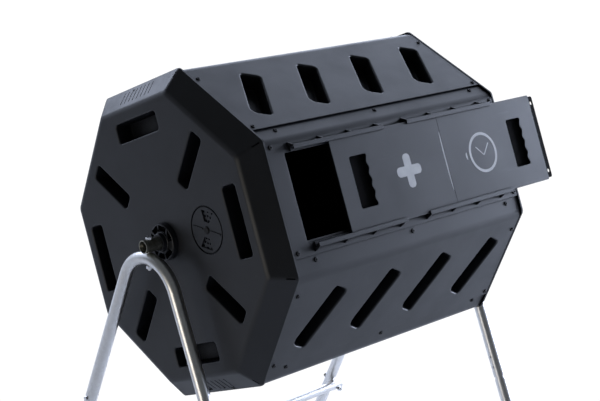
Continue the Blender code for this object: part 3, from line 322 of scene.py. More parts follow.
def fillAround(bm, face):
    # takes one flat face out and fills between its outline and the outlines drawn on it
    normal = face.normal.copy()
    origin = face.calc_center_median()
    outline = set(face.edges)
    cutOut(bm, face)
    rims = outline | {edge for edge in bm.edges if len(edge.link_faces) < 2 and all(
        abs((vert.co - origin).dot(normal)) < nearPlane for vert in edge.verts)}
    bmesh.ops.triangle_fill(bm, use_beauty=True, use_dissolve=False, edges=list(rims),
                            normal=normal)


def facePlace(face, along):
    normal = face.normal.normalized()
    along = (along - normal * along.dot(normal)).normalized()
    matrix = Matrix((along, normal.cross(along), normal)).transposed().to_4x4()
    return Matrix.Translation(face.calc_center_median()) @ matrix


def outwardFrom(bm, inside):
    bmesh.ops.recalc_face_normals(bm, faces=bm.faces)
    bm.normal_update()
    total = sum(face.calc_area() * face.normal.dot(face.calc_center_median() - inside)
                for face in bm.faces)
    if total < 0:
        bmesh.ops.reverse_faces(bm, faces=bm.faces)


bevelFrom = math.radians(42)  # folds sharper than this get a small bevel
sharpFrom = math.radians(32)  # and sharper than this are shaded as edges


def settledMesh(bm, name, wall=0.0, edge=0.0, segments=2, offset=-1):
    # gives a drawn sheet its wall (inwards at offset -1) and its small bevels
    mesh = bpy.data.meshes.new(name)
    bm.to_mesh(mesh)
    bm.free()
    piece = bpy.data.objects.new(name, mesh)
    bpy.context.scene.collection.objects.link(piece)
    if wall:
        solidify = piece.modifiers.new("wall", "SOLIDIFY")
        solidify.thickness = wall
        solidify.offset = offset
        solidify.use_even_offset = True
    if edge:
        bevel = piece.modifiers.new("edges", "BEVEL")
        bevel.width = edge
        bevel.segments = segments
        bevel.limit_method = "ANGLE"
        bevel.angle_limit = bevelFrom
    bpy.context.view_layer.update()
    evaluated = piece.evaluated_get(bpy.context.evaluated_depsgraph_get())
    settled = bpy.data.meshes.new_from_object(evaluated)
    bpy.data.objects.remove(piece)
    bpy.data.meshes.remove(mesh)
    settled.name = name
    settled.shade_smooth()
    settled.set_sharp_from_angle(angle=sharpFrom)
    return settled


def addPiece(name, mesh, place, material, body, replaced=()):
    placed = mesh.copy()
    placed.name = name
    placed.transform(place)
    placed.materials.clear()
    placed.materials.append(material)
    piece = bpy.data.objects.new(name, placed)
    bpy.context.scene.collection.objects.link(piece)
    weighted = piece.modifiers.new("even shading", "WEIGHTED_NORMAL")
    weighted.keep_sharp = True
    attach(piece, body)
    if replaced:
        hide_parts(*replaced)
    return piece


# the drum and its end panels
drum = {"flats": 0.532, "length": 0.543, "wall": 0.003, "inset": 0.0008, "seamToCorner": 0.030,
        "overlap": 0.024, "foldRadius": 0.022, "endGap": 0.0006}
rimApothem = drum["flats"] / 2
rimRadius = rimApothem / math.cos(halfTurn)
panelApothem = rimApothem - drum["inset"]
layer = drum["wall"] + gap
sideHalf = rimApothem * math.tan(halfTurn)
seamV = sideHalf - drum["seamToCorner"]  # v counts down a side from its middle

endPanel = {"depth": 0.035, "slopeIn": 0.036, "lip": 0.003, "edgeRadius": 0.014,
            "foldWidth": 0.0045, "wall": 0.0018, "edge": 0.0006, "faceBorder": 0.0015,
            "skirt": 0.020, "skirtIn": 0.0082,
            "longPocket": (0.117, 0.033), "shortPocket": (0.098, 0.028), "pocketMargin": 0.0215,
            "pocketCorner": 0.006, "pocketDepth": 0.029, "pocketRim": 0.0026, "pocketFoot": 0.003,
            "draft": math.radians(6), "hubHole": 0.0205, "slitSides": (-22.5, 157.5),
            "slits": 8, "slitPitch": 0.012, "slitWidth": 0.0020, "slitLength": 0.026,
            "slitCorner": 0.0008, "slotLength": 0.014, "slotWidth": 0.0022,
            "slotCorner": 0.0006, "slotOut": 0.009}
vent = {"angle": 67.5, "gap": 0.0255, "radius": 0.0388, "recess": 0.0026, "clearance": 0.0011,
        "rim": 0.0006, "rimLean": 0.6, "hole": 0.0022, "holeMargin": 0.0085, "holePitch": 0.0077,
        "rows": ((3, 20), (3, 17), (2, 24)), "pivotHole": 0.0036}
faceRadius = rimRadius - endPanel["slopeIn"]
faceApothem = faceRadius * math.cos(halfTurn)
longRadius = faceApothem - endPanel["pocketMargin"] - endPanel["longPocket"][1] / 2
shortRadius = faceApothem - endPanel["pocketMargin"] - endPanel["shortPocket"][0] / 2
ventRadius = longRadius - endPanel["longPocket"][1] / 2 - vent["gap"] - vent["radius"]
ventPlace = turned(-vent["angle"], "Z") @ moved(ventRadius) @ turned(vent["angle"], "Z")


def endShell():
    bm = bmesh.new()
    depth, lip = endPanel["depth"], endPanel["lip"]
    roundFace(bm, faceRadius, moved(z=depth), 8)
    bm.normal_update()
    grown = faceRadius
    edges = list(bm.edges)
    skirtRadius = (rimApothem - endPanel["skirtIn"]) / math.cos(halfTurn)
    for radius, height in ((rimRadius, lip), (rimRadius, 0.0), (skirtRadius, 0.0),
                           (skirtRadius, -endPanel["skirt"])):
        made = bmesh.ops.extrude_edge_only(bm, edges=edges)
        verts, edges = newVerts(made), [e for e in newEdges(made) if e.is_boundary]
        bmesh.ops.scale(bm, vec=(radius / grown, radius / grown, 1), verts=verts)
        bmesh.ops.translate(bm, vec=(0, 0, height - verts[0].co.z), verts=verts)
        grown = radius
    slope = math.atan2(depth - lip, endPanel["slopeIn"] * math.cos(halfTurn))
    top = [edge for edge in bm.edges if all(vert.co.z > depth - near for vert in edge.verts)]
    bmesh.ops.bevel(bm, geom=top, offset=endPanel["edgeRadius"] * math.tan(slope / 2),
                    affect="EDGES", segments=6, profile=0.5, material=-1)

    def onFold(vert):
        corners = math.atan2(vert.co.y, vert.co.x) / turnAngle
        return abs(corners - round(corners)) < 1e-3 and vert.co.z > -near

    folds = [edge for edge in bm.edges if all(onFold(vert) for vert in edge.verts)
             and abs(edge.verts[0].co.z - edge.verts[1].co.z) > near]
    bmesh.ops.bevel(bm, geom=folds, offset=endPanel["foldWidth"], affect="EDGES", segments=3,
                    profile=0.5, material=-1)
    bm.normal_update()

    # narrow slits through the slope of two opposite sides
    for angle in endPanel["slitSides"]:
        out = turned(-angle, "Z") @ Vector((math.sin(slope), 0, math.cos(slope)))
        face = max((f for f in bm.faces if f.normal.dot(out) > sameWay),
                   key=lambda f: f.calc_area())
        place = facePlace(face, turned(-angle, "Z") @ Vector((1, 0, 0)))
        for i in range(endPanel["slits"]):
            across = endPanel["slitPitch"] * (i - (endPanel["slits"] - 1) / 2)
            cutOut(bm, roundedFace(bm, endPanel["slitLength"], endPanel["slitWidth"],
                                   endPanel["slitCorner"], place @ moved(y=across), segments=2))
        fillAround(bm, face)
    # a short drain slot low on each corner of the slope
    for corner in range(8):
        ray = turned(45 * corner, "Z") @ Vector((1, 0, 0))
        strip = max((f for f in bm.faces if f.normal.dot(ray) > 0.5 and f.normal.z > 0.5
                     and abs(f.normal.dot(ray.cross(Vector((0, 0, 1))))) < 0.01),
                    key=lambda f: f.calc_area())
        cutOut(bm, roundedFace(bm, endPanel["slotLength"], endPanel["slotWidth"],
                               endPanel["slotCorner"],
                               facePlace(strip, ray) @ moved(endPanel["slotOut"]), segments=2))
        fillAround(bm, strip)

    bm.normal_update()
    flat = max((f for f in bm.faces if f.normal.z > sameWay), key=lambda f: f.calc_area())
    sink(bm, flat, [(endPanel["faceBorder"], 0.0)])
    pocket = wallSteps(endPanel["pocketRim"], endPanel["draft"], endPanel["pocketDepth"],
                       endPanel["pocketFoot"])
    border = 2 * (rimBorder + endPanel["pocketRim"])
    for quarter in range(4):
        for angle, radius, size, along in (
                (-22.5 + 90 * quarter, longRadius, endPanel["longPocket"], 90),
                (22.5 + 90 * quarter, shortRadius, endPanel["shortPocket"], 0)):
            place = turned(-angle, "Z") @ moved(radius, 0, depth) @ turned(along, "Z")
            sink(bm, roundedFace(bm, size[0] + border, size[1] + border,
                                 endPanel["pocketCorner"] + border / 2, place, segments=5), pocket)
    # seat of the vent dial: a shallow recess with air holes
    seat = roundFace(bm, vent["radius"] + vent["clearance"] + vent["rim"],
                     moved(z=depth) @ ventPlace, segments=48)
    rimIn, rimDown = vent["rim"] * vent["rimLean"], vent["rim"] * (1 - vent["rimLean"])
    sink(bm, seat, [(rimIn, -rimDown), (vent["rim"] - rimIn, rimDown - vent["recess"])])
    floor = moved(z=depth - vent["recess"]) @ ventPlace
    for side in (0, 180):
        for row, (count, spread) in enumerate(vent["rows"]):
            ring = vent["radius"] - vent["holeMargin"] - vent["holePitch"] * row
            for i in range(count):
                angle = side + spread * (i - (count - 1) / 2)
                cutOut(bm, roundFace(bm, vent["hole"], floor @ turned(angle, "Z") @ moved(ring),
                                     segments=10))
    cutOut(bm, roundFace(bm, vent["pivotHole"], floor, segments=12))
    fillAround(bm, seat)
    cutOut(bm, roundFace(bm, endPanel["hubHole"], moved(z=depth), segments=40))
    fillAround(bm, flat)
    outwardFrom(bm, Vector((0, 0, -drum["length"] / 2)))
    return settledMesh(bm, "endShell", wall=endPanel["wall"], edge=endPanel["edge"])


endMesh = endShell()
for side, name in ((-1, "left"), (1, "right")):
    addPiece(f"endShell_{name}", endMesh, onEnd(side), panelPlastic, "drum",
             [f"end_panel_{name}"])
print("end panels made", len(endMesh.polygons))

# side panels: seven alike, each with four slanted pockets
sidePocket = {"count": 4, "endMargin": 0.0171, "length": 0.120, "width": 0.035,
              "corners": (0.007, 0.007, 0.0135, 0.006), "depth": 0.028, "slant": 29.5, "v": -0.008,
              "rim": 0.0032, "foot": 0.004, "draft": math.radians(6)}
sideFinish = {"wall": 0.0017, "edge": 0.0006}


def panelSheet(bm):
    # one flat side, the fold at its upper corner and the flange under its neighbour
    half = drum["length"] / 2 - drum["endGap"]
    lower = panelApothem - layer
    foldV = (panelApothem * math.cos(turnAngle) - lower) / math.sin(turnAngle)
    foldStart = foldV + drum["foldRadius"] * math.tan(halfTurn)
    ends = [bm.verts.new((x, -seamV, panelApothem)) for x in (-half, half)]
    made = bmesh.ops.extrude_edge_only(bm, edges=[bm.edges.new(ends)])
    main = next(item for item in made["geom"] if isinstance(item, bmesh.types.BMFace))
    bmesh.ops.translate(bm, vec=(0, seamV - foldStart, 0), verts=newVerts(made))
    row = next(edge for edge in main.edges
               if all(abs(vert.co.y + foldStart) < near for vert in edge.verts))
    made = bmesh.ops.spin(bm, geom=[row, *row.verts], axis=(-1, 0, 0), angle=turnAngle, steps=10,
                          cent=(0, -foldStart, panelApothem - drum["foldRadius"]),
                          dvec=(0, 0, 0))
    row = next(item for item in made["geom_last"] if isinstance(item, bmesh.types.BMEdge))
    made = bmesh.ops.extrude_edge_only(bm, edges=[row])
    endV, along = seamV - drum["overlap"], (math.cos(turnAngle), math.sin(turnAngle))
    end = Vector((0, -(along[0] * endV - along[1] * lower), along[1] * endV + along[0] * lower))
    shift = end - Vector((0, row.verts[0].co.y, row.verts[0].co.z))
    bmesh.ops.translate(bm, vec=shift, verts=newVerts(made))
    bm.normal_update()
    if main.normal.z < 0:
        bmesh.ops.reverse_faces(bm, faces=bm.faces)
        bm.normal_update()
    return main


def sideShell():
    bm = bmesh.new()
    main = panelSheet(bm)
    pitch = (drum["length"] - 2 * sidePocket["endMargin"]) / sidePocket["count"]
    border = 2 * (rimBorder + sidePocket["rim"])
    steps = wallSteps(sidePocket["rim"], sidePocket["draft"], sidePocket["depth"],
                      sidePocket["foot"], segments=5)
    for i in range(sidePocket["count"]):
        place = (moved(pitch * (i - (sidePocket["count"] - 1) / 2), -sidePocket["v"], panelApothem)
                 @ turned(90 - sidePocket["slant"], "Z"))
        face = roundedFace(bm, sidePocket["length"] + border, sidePocket["width"] + border,
                           [c + border / 2 for c in sidePocket["corners"]], place, segments=6)
        sink(bm, face, steps)
    fillAround(bm, main)
    outwardFrom(bm, Vector())
    return settledMesh(bm, "sideShell", wall=sideFinish["wall"], edge=sideFinish["edge"])


sideMesh = sideShell()
sideAngles = [22.5, *(112.5 + 45 * i for i in range(6))]  # all but the door's side
for number, angle in enumerate(sideAngles, 1):
    addPiece(f"sideShell_{number}", sideMesh, onSide(angle), panelPlastic, "drum",
             [f"side_panel_{number}"])
print("side panels made", len(sideMesh.polygons))

# the door frame, its rails and their gussets
door = {"face": 67.5, "toSeam": 0.013, "toCorner": 0.0192, "plate": 0.0028, "rib": 0.0029,
        "ribWall": 0.0025, "lap": 0.017, "tongue": 0.0115, "tongueHole": 0.0034,
        "tongueMargin": 0.0155, "tongueCorner": 0.004, "tongueEdge": 0.0004,
        "neckShort": 0.003, "corner": 0.003, "sheet": 0.0014, "edge": 0.0007,
        "endShort": 0.0025}
rail = {"ledgeWidth": 0.007, "ledge": 0.0031, "ledgeBack": 0.0004, "ledgeRun": 0.001,
        "clearance": 0.0004, "wall": 0.003, "edge": 0.0007,
        "lipReach": 0.0045, "lipClearance": 0.0003, "openingEnd": 0.0335, "centreBar": 0.024,
        "endLeft": 0.0455, "endRight": 0.0215, "gapLeft": 0.024, "gapRight": 0.032,
        "gussets": 8, "gussetWidth": 0.0034, "gussetReach": 0.0058, "gussetDrop": 0.0012,
        "gussetRoot": 0.001, "gussetTop": 0.0008, "gussetEdge": 0.0005, "openingCorner": 0.003}
doorUnder = panelApothem + rail["ledge"] + gap + door["rib"]
doorTop = doorUnder + door["plate"]
doorHeight = seamV - door["toSeam"] + sideHalf - door["toCorner"]
doorV = seamV - door["toSeam"] - doorHeight / 2
openingHalf = drum["length"] / 2 - rail["openingEnd"]
openingHeight = doorHeight - 2 * rail["ledgeWidth"]
doorHalf = openingHalf + door["lap"]
railSections = ((-drum["length"] / 2 + rail["endLeft"], -rail["gapLeft"]),
                (rail["gapRight"], drum["length"] / 2 - rail["endRight"]))
doorFace = onSide(door["face"])


def doorFrameShell():
    bm = bmesh.new()
    main = panelSheet(bm)
    for side in (-1, 1):
        width = openingHalf - rail["centreBar"] / 2
        place = moved(side * (openingHalf + rail["centreBar"] / 2) / 2, -doorV, panelApothem)
        cutOut(bm, roundedFace(bm, width, openingHeight, rail["openingCorner"], place))
    fillAround(bm, main)
    outwardFrom(bm, Vector())
    return settledMesh(bm, "doorFrameShell", wall=sideFinish["wall"], edge=sideFinish["edge"])


def railMesh(side, start, end, lipped):
    # swept along X: ledge, wall and the lip that holds the door
    wallIn = doorHeight / 2 + rail["clearance"]
    lipUnder = doorTop - panelApothem + rail["lipClearance"]
    points = [(openingHeight / 2 + rail["ledgeBack"], rail["ledge"]), (wallIn, rail["ledge"])]
    if lipped:
        points += [(wallIn, lipUnder), (wallIn - rail["lipReach"], lipUnder)]
    bm = bmesh.new()
    row = [bm.verts.new((start, side * d - doorV, panelApothem + h)) for d, h in points]
    edges = [bm.edges.new(pair) for pair in zip(row, row[1:])]
    made = bmesh.ops.extrude_edge_only(bm, edges=edges)
    bmesh.ops.translate(bm, vec=(end - start, 0, 0), verts=newVerts(made))
    bm.normal_update()
    ledge = min(bm.faces, key=lambda f: f.calc_center_median().z)
    if ledge.normal.z < 0:
        bmesh.ops.reverse_faces(bm, faces=bm.faces)
    return settledMesh(bm, "rail", wall=rail["wall"], edge=rail["edge"])


def gussetMesh(side, x):
    # a web across the rail's outside that tapers down to the panel, let into both
    root = rail["gussetRoot"]
    wallOut = doorHeight / 2 + rail["clearance"] + rail["wall"]
    top = doorTop - panelApothem + rail["lipClearance"] + rail["wall"] - rail["gussetDrop"]
    deep, tall = rail["gussetReach"] + root, top + root
    bm = bmesh.new()
    bmesh.ops.create_cube(bm, size=1)
    bmesh.ops.scale(bm, vec=(rail["gussetWidth"], deep, tall), verts=bm.verts)
    bmesh.ops.translate(bm, vec=(0, deep / 2, tall / 2), verts=bm.verts)
    outer = [vert for vert in bm.verts if vert.co.z > tall / 2 and vert.co.y > deep / 2]
    bmesh.ops.translate(bm, vec=(0, rail["gussetTop"] - rail["gussetReach"], 0), verts=outer)
    place = moved(x, side * (wallOut - root) - doorV, panelApothem - root)
    bmesh.ops.transform(bm, matrix=place @ Matrix.Diagonal((1, side, 1, 1)), verts=bm.verts)
    bmesh.ops.recalc_face_normals(bm, faces=bm.faces)
    return settledMesh(bm, "gusset", edge=rail["gussetEdge"], segments=1)


addPiece("doorFrameShell", doorFrameShell(), doorFace, panelPlastic, "drum",
         ["door_frame_panel"])
for side, where in ((-1, "lower"), (1, "upper")):
    for (start, end), half in zip(railSections, ("left", "right")):
        addPiece(f"rail_{where}_{half}", railMesh(side, start, end, True), doorFace, panelPlastic,
                 "drum")
    ledge = railMesh(side, railSections[0][1] - rail["ledgeRun"],
                     railSections[1][0] + rail["ledgeRun"], False)
    addPiece(f"ledge_{where}", ledge, doorFace, panelPlastic, "drum")
    pitch = (drum["length"] - 2 * rail["endLeft"]) / (rail["gussets"] - 1)
    for i in range(rail["gussets"]):
        x = pitch * (i - (rail["gussets"] - 1) / 2)
        addPiece(f"gusset_{where}_{i + 1}", gussetMesh(side, x), doorFace, panelPlastic, "drum")
print("door frame and rails made")

# sliding door, drawn flat from each half's left edge, z = 0 under the plate
grip = {"width": 0.040, "length": 0.088, "depth": 0.0070, "left": 0.053, "right": 0.061,
        "waves": 4, "wave": 0.0017, "waveCuts": 8, "corner": 0.004, "rim": 0.0010, "foot": 0.0022,
        "wall": 0.0010}


def gripOutline(bm, gripX, height):
    # straight left edge, wavy right edge
    cup = roundedFace(bm, grip["width"], grip["length"], grip["corner"],
                      moved(gripX, 0, height), segments=3)
    edgeX = gripX + grip["width"] / 2
    right = max(cup.edges, key=lambda e: min(vert.co.x for vert in e.verts) + e.calc_length())
    bmesh.ops.subdivide_edges(bm, edges=[right], cuts=grip["waveCuts"] * grip["waves"] - 1)
    span = grip["length"] - 2 * grip["corner"]
    for vert in cup.verts:
        if abs(vert.co.x - edgeX) < near:
            phase = 2 * math.pi * grip["waves"] * (vert.co.y / span + 0.5)
            vert.co.x -= grip["wave"] * (1 - math.cos(phase))
    bm.normal_update()
    return cup


# the grip's rim: in and down, in parts of its size
gripRim = [(grip["rim"] * inPart, -grip["rim"] * downPart)
           for inPart, downPart in ((0.5, 0.0), (0.3, 0.3), (0.2, 0.7))]


def doorShell(gripX, short):
    bm = bmesh.new()
    top = door["plate"]
    place = moved((doorHalf - short) / 2, 0, top)
    flat = roundedFace(bm, doorHalf - short - 2 * gap, doorHeight, door["corner"], place,
                       segments=3)
    bm.normal_update()
    made = bmesh.ops.extrude_edge_only(bm, edges=list(flat.edges))
    bmesh.ops.translate(bm, vec=(0, 0, -top), verts=newVerts(made))
    longEdges = [edge for edge in newEdges(made) if edge.is_boundary
                 and all(abs(vert.co.y) > doorHeight / 2 - near for vert in edge.verts)]
    made = bmesh.ops.extrude_edge_only(bm, edges=longEdges)
    bmesh.ops.translate(bm, vec=(0, 0, -door["rib"]), verts=newVerts(made))
    cutOut(bm, sink(bm, gripOutline(bm, gripX, top), gripRim))
    fillAround(bm, flat)
    outwardFrom(bm, Vector((doorHalf / 2, 0, -doorHalf)))
    return settledMesh(bm, "doorShell", wall=door["sheet"], edge=door["edge"])


def gripCup(gripX):
    bm = bmesh.new()
    cup = sink(bm, gripOutline(bm, gripX, door["plate"]), gripRim)
    lip = [face for face in bm.faces if face is not cup]
    bmesh.ops.delete(bm, geom=lip, context="FACES")
    made = bmesh.ops.extrude_face_region(bm, geom=[cup])
    bottom = next(item for item in made["geom"] if isinstance(item, bmesh.types.BMFace))
    if cup.is_valid:
        cutOut(bm, cup)
    bmesh.ops.translate(bm, vec=(0, 0, grip["rim"] - grip["depth"]), verts=list(bottom.verts))
    bmesh.ops.bevel(bm, geom=list(bottom.edges), offset=grip["foot"], affect="EDGES", segments=4,
                    profile=0.5, material=-1)
    bm.normal_update()
    floorFace = max(bm.faces, key=lambda f: f.calc_area())
    if floorFace.normal.z < 0:
        bmesh.ops.reverse_faces(bm, faces=bm.faces)
    return settledMesh(bm, "gripCup", wall=grip["wall"])


def doorTongue():
    # steps down one plate and runs on under the next half, with two holes for its pegs
    bm = bmesh.new()
    half = doorHeight / 2 - door["ribWall"] - gap
    flat = roundedFace(bm, 2 * door["tongue"], 2 * half, door["tongueCorner"],
                       moved(doorHalf, 0, -gap))
    bm.normal_update()
    for side in (-1, 1):
        place = moved(doorHalf + door["tongue"] / 2, side * (doorHeight / 2 - door["tongueMargin"]),
                      -gap)
        cutOut(bm, roundFace(bm, door["tongueHole"], place, segments=20))
    fillAround(bm, flat)
    bm.normal_update()
    if bm.faces[:][0].normal.z < 0:
        bmesh.ops.reverse_faces(bm, faces=bm.faces)
    return settledMesh(bm, "doorTongue", wall=door["rib"] - 2 * gap, edge=door["tongueEdge"])


def doorNeck():
    # joins the tongue to its plate
    bm = bmesh.new()
    bmesh.ops.create_cube(bm, size=1)
    width = doorHeight - 2 * (door["ribWall"] + door["tongueCorner"])
    size = (door["tongue"] - door["neckShort"], width, door["plate"] / 2 + gap)
    bmesh.ops.scale(bm, vec=size, verts=bm.verts)
    bmesh.ops.translate(bm, vec=(doorHalf - door["tongue"] / 2, 0, door["plate"] / 4 - gap),
                        verts=bm.verts)
    return settledMesh(bm, "doorNeck")


doorMove = moved(doorLeftEdge, -doorV, doorUnder)
for name, start, gripX, short in (
        ("left", 0.0, grip["left"], 0.0),
        ("right", doorHalf, doorHalf - grip["right"], door["endShort"])):
    place = doorFace @ doorMove @ moved(start)
    for piece, mesh, material, replaced in (
            ("doorShell", doorShell(gripX, short), doorPlastic, [f"door_{name}"]),
            # painted shade: the cup, tongue and neck take the dark plastic that stands in for their
            # shade
            ("gripCup", gripCup(gripX), paintedShadePlastic, ()),
            ("doorTongue", doorTongue(), paintedShadePlastic, ()),
            ("doorNeck", doorNeck(), paintedShadePlastic, ())):
        addPiece(f"{piece}_{name}", mesh, place, material, "door", replaced)
print("door made")

# printed marks on the door: a plus, a line and a clock
marks = {"thickness": 0.00012, "lift": 0.00004, "barRound": 0.45,
         "plusX": 0.160, "plusUp": -0.0015, "plusSize": 0.058, "plusArm": 0.017,
         "plusRound": 0.42,
         "lineX": 0.252, "lineUp": -0.0015, "lineLength": 0.104, "lineWidth": 0.0026,
         "clockX": 0.350, "clockUp": -0.002, "clockSize": 0.0715, "ringWidth": 0.0050,
         "pivot": (0.001, -0.005), "hand": 0.0020, "longHand": (0.026, 48),
         "shortHand": (0.024, 135), "crownX": -0.044, "crown": (0.0035, 0.013)}


def printedMesh(bm):
    bm.normal_update()
    down = [face for face in bm.faces if face.normal.z < 0]
    bmesh.ops.reverse_faces(bm, faces=down)
    return settledMesh(bm, "mark", wall=marks["thickness"], offset=1)


def plusMark():
    bm = bmesh.new()
    arm, size = marks["plusArm"], marks["plusSize"]
    centre = roundedFace(bm, arm, arm, [], Matrix.Identity(4))  # square, four arms grow from it
    for edge in list(centre.edges):
        out = (edge.verts[0].co + edge.verts[1].co).normalized()
        made = bmesh.ops.extrude_edge_only(bm, edges=[edge])
        bmesh.ops.translate(bm, vec=out * (size - arm) / 2, verts=newVerts(made))
    tips = [vert for vert in bm.verts if vert.co.length > size / 2 - near]
    bmesh.ops.bevel(bm, geom=tips, offset=arm * marks["plusRound"], affect="VERTICES",
                    segments=6, profile=0.5, material=-1)
    return printedMesh(bm)


def barMark(length, width, place):
    bm = bmesh.new()
    roundedFace(bm, length, width, width * marks["barRound"], place)
    return printedMesh(bm)


def handMark(length):
    return barMark(length, marks["hand"], moved(length / 2))


def clockRing():
    bm = bmesh.new()
    bmesh.ops.create_circle(bm, cap_ends=False, segments=64, radius=marks["clockSize"] / 2)
    inner = bmesh.ops.extrude_edge_only(bm, edges=list(bm.edges))
    ratio = 1 - 2 * marks["ringWidth"] / marks["clockSize"]
    bmesh.ops.scale(bm, vec=(ratio, ratio, 1), verts=newVerts(inner))
    return printedMesh(bm)


markBase = doorFace @ doorMove @ moved(z=door["plate"] + marks["lift"])
clockPlace = markBase @ moved(marks["clockX"], marks["clockUp"])
for name, mesh, place in (
        ("markPlus", plusMark(), markBase @ moved(marks["plusX"], marks["plusUp"])),
        ("markLine", barMark(marks["lineWidth"], marks["lineLength"], Matrix.Identity(4)),
         markBase @ moved(marks["lineX"], marks["lineUp"])),
        ("markClockRing", clockRing(), clockPlace),
        ("markClockHandLong", handMark(marks["longHand"][0]),
         clockPlace @ moved(*marks["pivot"]) @ turned(marks["longHand"][1], "Z")),
        ("markClockHandShort", handMark(marks["shortHand"][0]),
         clockPlace @ moved(*marks["pivot"]) @ turned(marks["shortHand"][1], "Z")),
        ("markClockCrown", barMark(*marks["crown"], Matrix.Identity(4)),
         clockPlace @ moved(marks["crownX"]))):
    addPiece(name, mesh, place, printGrey, "door")
print("marks made")

# panel screws: two at each end of every side and three below each seam
screw = {"radius": 0.0041, "taper": 0.82, "height": 0.0022, "sunk": 0.0002, "edge": 0.0006,
         "socketRim": 0.0012, "socketTaper": 0.0003, "socketDepth": 0.0012, "turnEach": 25,
         "endX": 0.2626, "upV": -0.072, "downV": 0.072, "frameUpV": -0.0965,
         "seamX": (-0.228, -0.005, 0.238), "belowSeam": 0.008}


def screwMesh():
    bm = bmesh.new()
    bmesh.ops.create_cone(bm, cap_ends=True, segments=16, radius1=screw["radius"],
                          radius2=screw["radius"] * screw["taper"], depth=screw["height"])
    bmesh.ops.translate(bm, vec=(0, 0, screw["height"] / 2 - screw["sunk"]), verts=bm.verts)
    bm.normal_update()
    top = max(bm.faces, key=lambda f: f.calc_center_median().z)
    bmesh.ops.bevel(bm, geom=list(top.edges), offset=screw["edge"], affect="EDGES", segments=2,
                    profile=0.5, material=-1)
    bm.normal_update()
    top = max(bm.faces, key=lambda f: f.calc_center_median().z)
    sink(bm, top, [(screw["socketRim"], 0.0), (screw["socketTaper"], -screw["socketDepth"])])
    return settledMesh(bm, "screw")


screwHead = screwMesh()
count = 0
for index in range(8):
    angle = 22.5 + 45 * index
    onFrame = abs(angle - door["face"]) < 1
    spots = [(side * screw["endX"], v, 0) for side in (-1, 1)
             for v in (screw["frameUpV"] if onFrame else screw["upV"], screw["downV"])]
    spots += [(x, seamV + screw["belowSeam"], layer) for x in screw["seamX"]]
    for x, v, down in spots:
        count += 1
        place = onSide(angle) @ moved(x, -v, panelApothem - down)
        addPiece(f"screw_{count}", screwHead, place @ turned(screw["turnEach"] * count, "Z"),
                 screwBlack, "drum")
print("screws made", count)

# hubs and vents, drawn with outward along +Z
hub = {"flange": 0.031, "flangeDepth": 0.010, "sleeve": 0.0155, "reach": 0.018, "spigot": 0.020,
       "bore": 0.0117, "inner": 0.009, "recesses": 8, "recessDepth": 0.0070, "recessRim": 0.0003,
       "recessDraft": 0.0004, "web": 0.0022, "border": 0.0008, "corner": 0.0012,
       "segments": 40, "chamfer": 0.0008,
       "rim": ((-0.0018, 0.0), (-0.0006, -0.0006), (0.0, -0.0018)),  # (out, up) from the corner
       "root": ((0.0004, 0.0016), (0.0010, 0.0006), (0.0022, 0.0))}


def spunShell(bm, points, segments):
    row = [bm.verts.new((radius, 0, z)) for radius, z in points]
    edges = [bm.edges.new(pair) for pair in zip(row, row[1:])]
    bmesh.ops.spin(bm, geom=row + edges, cent=(0, 0, 0), axis=(0, 0, 1), dvec=(0, 0, 0),
                   angle=2 * math.pi, steps=segments, use_merge=True)


def wedgeFace(bm, inner, outer, width, corner, place):
    # a rounded wedge between two radii, its middle along +X
    middle = (inner + outer) / 2
    face = roundedFace(bm, outer - inner, width, corner, Matrix.Identity(4), segments=3)
    for vert in face.verts:
        vert.co.y *= (middle + vert.co.x) / middle
    bmesh.ops.transform(bm, matrix=place @ moved(middle), verts=list(face.verts))
    bm.normal_update()
    return face


def hubMesh():
    bm = bmesh.new()
    top = gap + hub["flangeDepth"]
    rim = [(hub["flange"] + out, top + up) for out, up in hub["rim"]]
    root = [(hub["sleeve"] + out, top + up) for out, up in hub["root"]]
    spunShell(bm, [*rim, (hub["flange"], gap), (hub["spigot"], gap),
                   (hub["spigot"], -hub["inner"]), (hub["bore"], -hub["inner"]),
                   (hub["bore"], hub["reach"]), (hub["sleeve"] - hub["chamfer"], hub["reach"]),
                   (hub["sleeve"], hub["reach"] - hub["chamfer"]), *root], hub["segments"])
    bm.normal_update()
    inner, outer = root[-1][0] + hub["border"], rim[0][0] - hub["border"]
    width = math.pi * (inner + outer) / hub["recesses"] - hub["web"]
    for i in range(hub["recesses"]):
        place = turned(360 * i / hub["recesses"], "Z") @ moved(z=top)
        face = wedgeFace(bm, inner, outer, width, hub["corner"], place)
        sink(bm, face, [(hub["recessRim"], -hub["recessRim"]),
                        (hub["recessDraft"], -hub["recessDepth"])])
    rims = [edge for edge in bm.edges if len(edge.link_faces) < 2
            and all(abs(vert.co.z - top) < near for vert in edge.verts)]
    bmesh.ops.triangle_fill(bm, use_beauty=True, use_dissolve=False, edges=rims,
                            normal=(0, 0, 1))
    bmesh.ops.recalc_face_normals(bm, faces=bm.faces)
    return settledMesh(bm, "hub")


dial = {"radius": 0.0374, "thickness": 0.0020, "windowAngle": math.radians(50), "inner": 0.013,
        "outer": 0.0312, "corner": 0.0012, "edge": 0.0004, "pivotHole": 0.0035,
        "ribAngles": (90, 270), "ribStart": 0.009, "ribEnd": 0.003, "ribWidth": 0.0024,
        "ribHeight": 0.0016, "ribSunk": 0.0004, "ribEdge": 0.0005}


